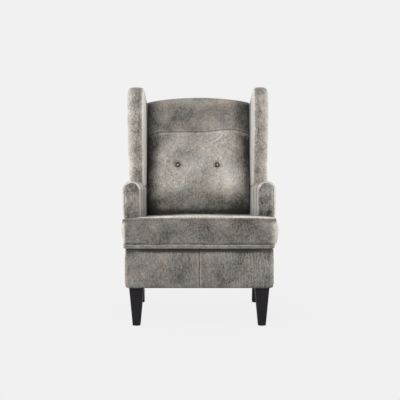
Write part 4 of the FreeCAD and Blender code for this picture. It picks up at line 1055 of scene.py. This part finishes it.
def makeWings():
    outline, panelLine = wingOutline(), wingOutline(wing["panelLow"])
    (innerX, innerInset), (boardX, boardInset), (panelX, _) = wing["front"][0], wing["board"], wing["panel"][0]
    outer, wide = wing["outside"], wing["outside"] - panelX
    lines = [insetLine(panelLine, inset) for _, inset in wing["panel"]]
    for side, flip in bothSides:
        flare = wing["flare"][side]
        rings = [
            wingRing(outline, innerX, innerInset, share, 1.6 * (1 - share ** 2))
            for share in np.linspace(0.03, 0.97, 30)
        ]
        for x, inset in wing["front"]:
            rings.append(wingRing(outline, x, inset, flare=flare * min(max((x - 275) / 50, 0), 1)))
        rings += [wingRing(outline, boardX, boardInset, share) for share in [1] + list(np.linspace(0.97, 0.03, 12))]
        piece = ringStack(f"wing_dressed_{side}", [flip(ring) for ring in rings])
        shapeOut(piece, 13, 1.0, 5 if side == "right" else 6, wingSoft)
        if side == "right":
            shapeOut(piece, 60, 1.0, 7, lambda points: wingSoft(points) * (1 - smoothStep(points[:, 2], 680, 830)))
        wear(piece, wingShading)
        dress(piece, velvetWing, "chair_frame", [f"wing_cover_{side}", f"wing_pad_{side}"])

        shell = [wingRing(lines[0], panelX, 0, share) for share in np.linspace(0.03, 0.97, 10)]
        for line, (x, _) in zip(lines, wing["panel"]):
            shell.append(wingRing(line, x, 0, flare=flare * (x - panelX) / wide))
        shell += [wingRing(lines[-1], outer, 0, share, flare=flare) for share in np.linspace(0.97, 0.03, 24)]
        piece = ringStack(f"wing_outside_{side}", [flip(ring) for ring in shell])
        skin = outer - 0.2 + min(flare, 0)
        shapeOut(piece, 9, 1.8, 8, lambda points: smoothStep(np.abs(points[:, 0]), skin - 2.5, skin))
        dress(piece, velvet, "chair_frame", [f"outside_wing_panel_{side}"])


def wingShading(points):
    # painted highlights on both edges of the front and along the inner wall, which falls into painted shade towards
    # the back pad; painted shade at the foot on the arm, a painted highlight along the crown, and darker lines down
    # the front
    x, y, z = np.abs(points[:, 0]), points[:, 1], points[:, 2]
    left = points[:, 0] < 0
    deep = y - (wing["foot"] - wing["bend"] * smoothStep(z, wing["bendLow"], wing["bendHigh"]))
    near = 1 - smoothStep(deep, 25, 60)
    dark = smoothStep(y + 16 * smoothStep(z, 700, 850), 188, 228)
    wall = np.where(left, 2.5, 2.1) * (1 - smoothStep(x, 266.4, np.where(left, 277, 272))) * (1 - 2.4 * dark)
    outer = np.where(left, 1.15 * bell(x, 341, 25), 1.2 * bell(x, 336, 20))
    fold = -0.4 * bell(x, 286, 6) - np.where(left, 0.3, 0.1) * bell(x, 303, 13)
    fold = fold + np.where(left, 0.35 * bell(z, 896, 45), 0.1) * smoothStep(x, 280, 300)
    low = np.where(left, 0.4, 0.3) * (1 - smoothStep(z, 690, 820))
    foot = 0.4 * (1 - smoothStep(z, 612, 650))
    return wall + (outer + fold + low) * near - foot + 0.4 * bell(z, wing["crown"], 14)


def wingSoft(points):
    # the part of a wing's skin that is free to be uneven: not where it stands on the arm or lies on its board
    free = smoothStep(points[:, 2], 640, 680) * (1 - smoothStep(points[:, 1], 250, 320))
    onBoard = (np.abs(points[:, 0]) > 327) & (np.abs(points[:, 0]) < 329)
    inner = np.where(np.abs(points[:, 0]) < 268, 0.5, 1)
    return free * inner * ~onBoard


makeWings()
print("wings ready")
makeArms()
print("arms ready")


# Outside panels: the arms' sides and the leaning back

outside = {
    # the arms' panels, from the side
    "front": -351.6, "notch": -246.4, "low": 170, "step": 338, "high": 467.6,
    "sideFoot": 323, "sideFlare": 14, "flareReach": 130, "roll": 20,
    "sideSteps": 260, "sideMiddle": (0, 285),
    "sideEdge": [(9.6, 0.6), (8, 0), (4, 0), (1.8, 0.8), (0.5, 2.8), (0, 6)],  # depth, inset
    # the back's panel
    "backLow": 171, "backTop": 1046, "backCrown": 23, "backHalf": 322, "backFlare": 15, "backThick": 9.8,
    "backColumns": 90, "backRows": 120,
}


def sideX(z):
    # the side panel's outer face, upright below the deck and flared above it
    return outside["sideFoot"] + outside["sideFlare"] * np.clip((z - outside["step"]) / outside["flareReach"], 0, 1)


def sideRound(ring):
    # the outer face rolls under at the panel's lower edge
    roll = outside["low"] + outside["roll"]
    low = np.clip((roll - ring[:, 2]) / outside["roll"], 0, 1)
    under = np.minimum(ring[:, 0], 323.6 - 9 * (1 - np.sqrt(1 - low ** 2)))
    return np.column_stack([np.where(ring[:, 2] < roll, under, ring[:, 0]), ring[:, 1:]])


def makeSides():
    front, notch, low, step, high = [outside[key] for key in ("front", "notch", "low", "step", "high")]
    corners = [
        (front, low, 4), (backLean(low) - 11, low, 3), (backLean(468) - 11, high, 3),
        (notch, high, 4), (notch, step, 5), (front, step, 5),
    ]
    outline = evenly(cornered(corners), outside["sideSteps"])

    def ring(depth, inset, share=1.0, puff=0.0):
        flat = shrunk(drawnIn(outline, inset), outside["sideMiddle"], share)
        return np.column_stack([sideX(flat[:, 1]) - depth + puff, flat])

    rear, rearInset = outside["sideEdge"][0]
    face, faceInset = outside["sideEdge"][-1]
    rings = [ring(rear, rearInset, share) for share in np.linspace(0.04, 0.97, 12)]
    rings += [ring(depth, inset) for depth, inset in outside["sideEdge"]]
    rings += [ring(face, faceInset, share, 2.2 * (1 - share ** 2)) for share in np.linspace(0.98, 0.03, 26)]
    for side, flip in bothSides:
        piece = ringStack(f"arm_outside_{side}", [flip(sideRound(one)) for one in rings])
        shapeOut(piece, 7, 3.0, 21, lambda points: smoothStep(np.abs(points[:, 0]) - sideX(points[:, 2]), -2, 0.5))
        dress(piece, velvet, "chair_frame", [f"outside_arm_panel_{side}"])


def makeOutsideBack():
    # arched like the headrest and a little bowed, with its edges turned in
    low = outside["backLow"]
    across, height = np.meshgrid(
        closerAtEnds(-1, 1, outside["backColumns"]), closerAtEnds(0, 1, outside["backRows"]),
    )
    top = outside["backTop"] + outside["backCrown"] * (1 - across ** 2)
    z = low + (top - low) * height
    half = outside["backHalf"] + outside["backFlare"] * smoothStep(z, 330, 595) - 1.5
    x = across * half
    near = np.minimum((1 - np.abs(across)) * half, np.minimum(z - low, top - z))
    drop = 5 * np.exp(-near / 3.2)
    flat = np.column_stack([x.ravel(), z.ravel(), 0 * x.ravel()])
    uneven = (bumpy(flat, 5, 4.5, 31) + bumpy(flat, 14, 1.6, 32)).reshape(x.shape) * smoothStep(near, 2, 60)
    bow = 3.0 * (1 - across ** 2) * np.sin(height * math.pi)
    rear = np.stack([x, backLean(z) - drop + uneven + bow * 0.6, z], -1)
    front = np.stack([x, backLean(z) - outside["backThick"], z], -1)
    piece = closedSheet("back_outside", rear, front)
    dress(piece, velvet, "chair_frame", ["outside_back"])


makeSides()
makeOutsideBack()
print("outside panels ready")


# Front border in two halves, rounded at the lower corners, with a seam in the middle

border = {
    "front": -366, "rear": -352.2, "low": 170, "high": 338.4, "half": 323.5, "corner": 26, "edge": 6.5,
    "columns": 90, "rows": 56,
    "gap": 0.35,  # from the middle seam to each half
    # folds at the foot: start, end, depth, width
    "folds": {
        "left": [((-246, 204), (-172, 176), 4.5, 4.5), ((-300, 190), (-262, 240), 2.0, 8)],
        "right": [((60, 196), (150, 182), 1.6, 7)],
    },
}


def makeBorder():
    low, high, corner, gap = border["low"], border["high"], border["corner"], border["gap"]
    across, height = np.meshgrid(closerAtEnds(0, 1, border["columns"]), closerAtEnds(0, 1, border["rows"]))
    z = low + (high - low) * height
    inCorner = np.clip(corner - (z - low), 0, corner)
    wide = border["half"] - (corner - np.sqrt(corner ** 2 - inCorner ** 2))
    wide = wide - 3 * smoothStep(z, 285, 338)
    x = gap + (wide - gap) * across
    for side, sign in (("right", 1), ("left", -1)):
        toOuter, toSeam = (1 - across) * wide, across * wide
        toEdge = np.minimum(toOuter, np.minimum(z - low, high - z))
        y = border["front"] + border["edge"] * np.exp(-toEdge / 3.4) + 3.6 * np.exp(-toSeam / 2.6)
        y = y - 1.6 * bell(toSeam, 8, 5)
        lie = sign * x
        for start, end, depth, width in border["folds"][side]:
            y += crease(lie, z, start, end, depth, width)
        flat = np.column_stack([lie.ravel(), y.ravel(), z.ravel()])
        uneven = (bumpy(flat, 8, 5.0, 41) + bumpy(flat, 22, 2.0, 42)).reshape(y.shape)
        y = y + uneven * smoothStep(np.minimum(toEdge, toSeam), 2, 30)
        front = np.stack([lie, y, z], -1)
        rear = np.stack([lie, np.full_like(y, border["rear"]), z], -1)
        piece = closedSheet(f"front_border_dressed_{side}", front, rear)
        wear(piece, borderShading)
        dress(piece, velvetBorder, "chair_frame", [f"front_border_{side}"])


def borderShading(points):
    # painted shadow under the cushion's overhang, painted highlights at the outer edges and beside the middle seam,
    # and darker along the foot
    x, z = np.abs(points[:, 0]), points[:, 2]
    shade = (-1.5 * smoothStep(z, 318, 336) - 0.6 * smoothStep(z, 330, 337)) * (1 - 0.6 * smoothStep(x, 225, 285))
    return shade + 0.6 * smoothStep(x, 306, 322) + 0.4 * bell(x, 6, 2.4) - 0.25 * bell(z, 170, 8)


makeBorder()
print("front border ready")


# Seat deck under the cushion

deck = {
    "under": 324.8,
    "top": 338.6,
    "tee": {"wide": 312.4, "front": -351.4, "ear": -261.6, "body": 263.4, "rear": 271, "corner": 8, "notch": 4},
    # the edge from below to the top: height, inset
    "edge": [
        (324.8, 4), (320, 3.5), (318.4, 2.5), (318.6, 0.6), (322, 0), (333, 0), (336.8, 1.6), (338.4, 5),
    ],
    "steps": 260,
    "middle": (0, -300),
}


def teeCorners(wide, front, ear, body, rear, corner, notch):
    # a T with its ears to the front, each corner as x, y, rounding
    return [
        (wide, front, corner), (wide, ear, corner), (body, ear, notch), (body, rear, corner),
        (-body, rear, corner), (-body, ear, notch), (-wide, ear, corner), (-wide, front, corner),
    ]


def levelRing(outline, middle, z, inset, share=1.0):
    # a ring at one height
    flat = shrunk(drawnIn(outline, inset), middle, share)
    return np.column_stack([flat, np.full(len(flat), z)])


def makeDeck():
    outline, middle, top = evenly(cornered(teeCorners(**deck["tee"])), deck["steps"]), deck["middle"], deck["top"]
    rings = [levelRing(outline, middle, deck["under"], 5, share) for share in np.linspace(0.04, 0.98, 20)]
    rings += [levelRing(outline, middle, z, inset) for z, inset in deck["edge"]]
    rings += [levelRing(outline, middle, top + 1 - share ** 2, 6, share) for share in np.linspace(0.98, 0.03, 30)]
    piece = ringStack("seat_deck_dressed", rings)
    dress(piece, deckCloth, "chair_frame", ["seat_deck"])


makeDeck()
print("deck ready")


# The loose T cushion

cushion = {
    "tee": {"wide": 336, "front": -370, "ear": -266.7, "body": 258.3, "rear": 159.0, "corner": 26, "notch": 9},
    "steps": 420,
    "middle": (0, -305),
    "lowSeam": 356,
    "highSeam": 465,
    "top": 485,
    "crown": 6,
    "pitch": 22,  # the top's fall to the back
    "seamPitch": 16,
    "sideFall": {-1: 6.5, 1: 2.0},
    "earDrop": 3,
    "seamDrop": 3,
    "under": 340.6,  # where it lies on the deck
    # from the underside to the top seam: height, inset
    "side": [
        (340.6, 14), (340.8, 9.5), (342.2, 5.6), (344.6, 3.4), (348, 2.6), (352, 4.0), (355.6, 6.8), (357, 8.2),
        (358.4, 6.8), (361, 4.2), (367, 1.6), (378, -1), (390, -2.9), (403, -3.8), (416, -4), (429, -3.4),
        (441, -2), (451, 0.6), (459, 3.4), (463.4, 6.4), (465, 7.8),
    ],
    # from the top seam to the crowned top: climb from 0 to 1, inset
    "roll": [(0.07, 6.6), (0.24, 4.4), (0.46, 3.8), (0.66, 5.2), (0.82, 8), (0.93, 11.6), (0.985, 15.5)],
    # how far the ears' ends stand out at some heights, on the left and on the right
    "earHeights": [340, 351, 368, 400, 440, 456, 475],
    "earBulge": {-1: [-1, -3, 0, -2, 3, 4, 5], 1: [-5, -5.5, 3, 4.8, 7, 7, 5]},
    # piping: inset, radius
    "welts": {"top": (6.6, 2.6), "bottom": (4.8, 3.1)},
}
cushionFront, cushionRear = cushion["tee"]["front"], cushion["tee"]["rear"]
cushionOutline = evenly(cornered(teeCorners(**cushion["tee"]), 12), cushion["steps"])


def seamTop(x, y):
    # the top seam dips at the ears and falls to the back
    length = (y - cushionFront) / (cushionRear - cushionFront)
    fall = cushion["seamPitch"] * np.clip(length - 0.05, 0, 1)
    return cushion["highSeam"] - cushion["seamDrop"] * smoothStep(np.abs(x), 225, 338) - fall


def cushionTop(x, y):
    # the crowned top: it falls to the back, as the seat is pitched, and to the ears
    length = (y - cushionFront) / (cushionRear - cushionFront)
    rise = cushion["crown"] * np.clip(1 - (2 * length - 1) ** 2, 0, 1) ** 0.8
    rise = rise * (1 - (np.abs(x) / 345) ** 2.6) - cushion["pitch"] * np.clip(length - 0.05, 0, 1)
    sideFall = np.where(np.asarray(x) < 0, cushion["sideFall"][-1], cushion["sideFall"][1])
    fall = sideFall * (np.abs(x) / 236) ** 2 + cushion["earDrop"] * smoothStep(np.abs(x), 240, 332)
    return cushion["top"] + rise - fall


def bulged(points):
    # rounds the ears' ends
    for sign, pushes in cushion["earBulge"].items():
        near = smoothStep(points[:, 0] * sign, 300, 336) * (1 - smoothStep(points[:, 1], -300, -262))
        points[:, 0] += sign * near * np.interp(points[:, 2], cushion["earHeights"], pushes)
    return points


def sideRing(z, inset, share=1.0):
    # a ring below the top seam
    ring = levelRing(cushionOutline, cushion["middle"], z, inset, share)
    ring[:, 2] -= (cushion["highSeam"] - seamTop(ring[:, 0], ring[:, 1])) * smoothStep(z, 380, 465)
    return bulged(ring)


def rollRing(climb, inset, share=1.0):
    # a ring from the top seam, climb 0, to the crowned top, climb 1
    flat = shrunk(drawnIn(cushionOutline, inset), cushion["middle"], share)
    low, high = seamTop(flat[:, 0], flat[:, 1]), cushionTop(flat[:, 0], flat[:, 1])
    return bulged(np.column_stack([flat, low + (high - low) * climb]))


def makeCushion():
    rings = [sideRing(cushion["under"], 15, share) for share in np.linspace(0.03, 0.98, 24)]
    rings += [sideRing(z, inset) for z, inset in cushion["side"]]
    rings += [rollRing(climb, inset) for climb, inset in cushion["roll"]]
    rings += [rollRing(1, 19, share) for share in np.linspace(1, 0.03, 42)]
    piece = ringStack("seat_cushion_body", rings)
    shapeOut(piece, 8, 4.0, 51, cushionSoft)
    shapeOut(piece, 21, 1.8, 52, cushionSoft)
    wear(piece, cushionShading)
    dress(piece, velvetSeat, "seat_cushion",
          ["cushion_foam", "cushion_top_panel", "cushion_boxing", "cushion_bottom_panel"])
    # the top behind the front roll takes a darker copy of the velvet with little sheen: painted shade
    piece.data.materials.append(velvetSeatTopShaded)
    for face in piece.data.polygons:
        y, z = face.center.y / mm, face.center.z / mm
        if face.normal.z > 0.93 and z > 430 and y > cushionFront + 15:
            face.material_index = 1  # the top, behind the front roll


def cushionShading(points):
    # painted highlights along the front roll and on the ears' ends, painted shade over the low seam and high up
    # towards the back
    x, y, z = np.abs(points[:, 0]), points[:, 1], points[:, 2]
    front = 1 - smoothStep(y, -366, -340)
    rise = z - seamTop(x, y)
    roll = (2.1 + 0.9 * smoothStep(x, 90, 200)) * front * smoothStep(rise, 8, 13)
    leftSide = points[:, 0] < 0
    ends = np.where(leftSide, 2.2, 1.5) * smoothStep(x, np.where(leftSide, 316, 306), np.where(leftSide, 330, 332))
    ends = ends * (1 - smoothStep(y, -352, -322)) * smoothStep(z, 345, 358) * (1 - smoothStep(rise, -14, 0))
    low = 0.25 * bell(z, 344, 6) - 0.6 * bell(z, 361, 3)
    low = low * (0.8 + bumpy(points, 20, 1.2, 63))
    return roll + ends + low - 0.4 * smoothStep(y, -100, 120) * smoothStep(z, 440, 465)


def cushionSoft(points):
    # free on the front and the top, held where the cushion lies on the deck and beside the arms
    x, y, z = np.abs(points[:, 0]), points[:, 1], points[:, 2]
    clearSide = np.maximum(1 - smoothStep(x, 225, 255), 1 - smoothStep(y, -300, -275))
    clearBack = 1 - smoothStep(y, 90, 140)
    return smoothStep(z, 352, 375) * clearSide * clearBack


def makeWelts():
    for label, cloth in (("top", velvetSeat), ("bottom", velvetWelt)):
        inset, radius = cushion["welts"][label]
        flat = drawnIn(cushionOutline, inset)
        heights = seamTop(flat[:, 0], flat[:, 1]) if label == "top" else np.full(len(flat), cushion["lowSeam"])
        path = bulged(np.column_stack([flat, heights]))
        path[:, 2] += bumpy(path, 14, 2.6, 61) + bumpy(path, 45, 1.4, 62)
        values = {"Radius": radius * mm, "Material": cloth}
        piece = alongPaths(f"cushion_cord_{label}", cordTree, [path], True, values)
        dress(piece, cloth, "seat_cushion", [f"cushion_welt_{label}"])


makeCushion()
makeWelts()
print("cushion ready")


# Zip in the cushion's back: its tapes and teeth, beside the slider and pull, which are the solids' own

zipper = {"half": 220, "middle": 414, "pitch": 4.2, "tooth": {"half": 1.25, "thick": 0.55}}


def roundedBar(name, low, high, edge):
    # a box with rounded edges between two corners
    (x0, y0, z0), (x1, y1, z1) = low, high
    corners = [(x, y, z) for x in (x0, x1) for y in (y0, y1) for z in (z0, z1)]
    faces = [(0, 1, 3, 2), (4, 6, 7, 5), (0, 4, 5, 1), (2, 3, 7, 6), (0, 2, 6, 4), (1, 5, 7, 3)]
    piece = newPiece(name, corners, faces)
    soften = piece.modifiers.new("edges", "BEVEL")
    soften.width = edge * mm
    soften.segments = 3
    return piece


def makeZip():
    low, high = [np.array(corner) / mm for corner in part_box("cushion_zip")]
    tape = roundedBar("zip_tapes", low, (high[0], high[1] - 0.7, high[2]), 0.25)
    dress(tape, zipTape, "seat_cushion", ["cushion_zip"])
    paths = []
    for row, shift in ((-1, 0), (1, zipper["pitch"] / 2)):
        y, z = high[1] - 0.45, zipper["middle"] + row
        paths.append([(-zipper["half"] + 8 + shift, y, z), (zipper["half"] - 6, y, z)])
    tooth = dict(zipper["tooth"], pitch=zipper["pitch"])
    teeth = alongPaths("zip_teeth", stitchTree, paths, False, stitchValues(tooth, zipMetal))
    dress(teeth, zipMetal, "seat_cushion")


makeZip()
print("zip ready")


# Stitches in rows beside the seams that show from the front

stitch = {"pitch": 5.5, "half": 1.5, "thick": 0.45, "proud": 0.15}


def onFront(piece, places):
    # where points (x, z) meet the front of a piece
    mesh = piece.data
    tree = BVHTree.FromPolygons([vertex.co for vertex in mesh.vertices], [face.vertices for face in mesh.polygons])
    path = []
    for x, z in places:
        hit = tree.ray_cast(Vector((x * mm, -0.6, z * mm)), Vector((0, 1, 0)))[0]
        if hit:
            path.append((x, hit.y / mm - stitch["proud"], z))
    return path


def makeStitches():
    thread = plainMaterial("thread", (0.16, 0.145, 0.125, 1), 0.7, 0.0, 900)
    across = np.linspace(-246, 246, 160)
    yoke = [(x, z - 4.5) for x, z in zip(across, seamHeight(across))]
    rows = {"yoke_stitches": [("back_pad", yoke)]}
    rows["border_stitches"] = [
        (f"front_border_dressed_{side}", [(sign * 4.6, z) for z in np.linspace(178, 326, 50)])
        for side, sign in (("left", -1), ("right", 1))
    ]
    for name, runs in rows.items():
        paths = [onFront(bpy.data.objects[piece], places) for piece, places in runs]
        made = alongPaths(name, stitchTree, paths, False, stitchValues(stitch, thread))
        dress(made, thread, "chair_frame")


makeStitches()
print("stitches ready")


# Camera, floor and light

view = {"place": (-0.025, -3.523, 0.616), "lens": 65.62, "shift": (0.01614, -0.0366)}


def makeCamera():
    camera = intoScene("photoCamera", bpy.data.cameras.new("photoCamera"))
    camera.location = view["place"]
    camera.rotation_euler = (math.pi / 2, 0, 0)
    camera.data.sensor_width = 36
    camera.data.lens = view["lens"]
    camera.data.shift_x, camera.data.shift_y = view["shift"]
    bpy.context.scene.camera = camera


studio = {
    "background": (0.879, 0.879, 0.879, 1),
    "ambient": 0.12,
    "reach": 30,  # of the floor
    "shadow": 0.045,  # how much of the chair's shadow the floor keeps near its middle
    "shadowReach": (0.45, 1.2),  # from the middle, where the shadow ends
    "lamps": [
        # place, target, size, watts
        ((-0.4, -3.6, 2.2), (0, 0, 0.75), 1.6, 68),
        ((-3.0, -1.5, 1.3), (0, 0, 0.8), 1.4, 48),
        ((3.0, -1.5, 1.3), (0, 0, 0.8), 1.4, 46),
        ((-2.6, 1.3, 1.5), (0, 0, 0.7), 1.4, 40),
        ((2.6, 1.3, 1.5), (0, 0, 0.7), 1.4, 36),
    ],
}


def seenRays(tree):
    # 1 for rays that show the plain background: camera, glossy and transmission
    path = tree.nodes.new("ShaderNodeLightPath")
    seen = Shade(tree, path.outputs["Is Camera Ray"]) + Shade(tree, path.outputs["Is Glossy Ray"])
    return seen + Shade(tree, path.outputs["Is Transmission Ray"])


def makeFloor():
    mesh = bpy.data.meshes.new("floor")
    corners = [(x * studio["reach"], y * studio["reach"], 0) for x, y in ((-1, -1), (1, -1), (1, 1), (-1, 1))]
    mesh.from_pydata(corners, [], [(0, 1, 2, 3)])
    floor = intoScene("floor", mesh)
    material = bpy.data.materials.new("studioFloor")
    material.use_nodes = True
    tree = material.node_tree
    shade = Shade(tree)
    diffuse = shade.add("ShaderNodeBsdfDiffuse", None, {"Color": (0.8, 0.8, 0.8, 1)})
    glow = shade.add("ShaderNodeEmission", None, {"Color": studio["background"], "Strength": 1.0})
    seen = seenRays(tree)
    place = shade.add("ShaderNodeTexCoord", None, None, 3)
    away = shade.add("ShaderNodeVectorMath", {"operation": "LENGTH"}, {0: place}, 1)
    factor = seen * ((1 - studio["shadow"]) + away.ramp(*studio["shadowReach"]) * studio["shadow"])
    mixed = shade.add("ShaderNodeMixShader", None, {0: factor, 1: diffuse, 2: glow})
    tree.links.new(mixed.socket, tree.nodes["Material Output"].inputs["Surface"])
    mesh.materials.append(material)


def makeWorld():
    world = bpy.data.worlds.new("studio")
    world.use_nodes = True
    bpy.context.scene.world = world
    tree = world.node_tree
    shade = Shade(tree)
    plain = shade.add("ShaderNodeBackground", None, {"Color": (1, 1, 1, 1), "Strength": studio["ambient"]})
    seenBack = shade.add("ShaderNodeBackground", None, {"Color": studio["background"], "Strength": 1.0})
    mixed = shade.add("ShaderNodeMixShader", None, {0: seenRays(tree), 1: plain, 2: seenBack})
    tree.links.new(mixed.socket, tree.nodes["World Output"].inputs["Surface"])


def makeLamps():
    for number, (place, target, size, watts) in enumerate(studio["lamps"]):
        lamp = bpy.data.lights.new(f"softbox{number}", "AREA")
        lamp.shape = "SQUARE"
        lamp.size = size
        lamp.energy = watts
        holder = intoScene(f"softbox{number}", lamp)
        holder.location = place
        holder.rotation_euler = (Vector(target) - Vector(place)).to_track_quat("-Z", "Y").to_euler()


makeCamera()
makeFloor()
makeWorld()
makeLamps()
bpy.context.scene.view_settings.view_transform = "Standard"
print("studio ready")
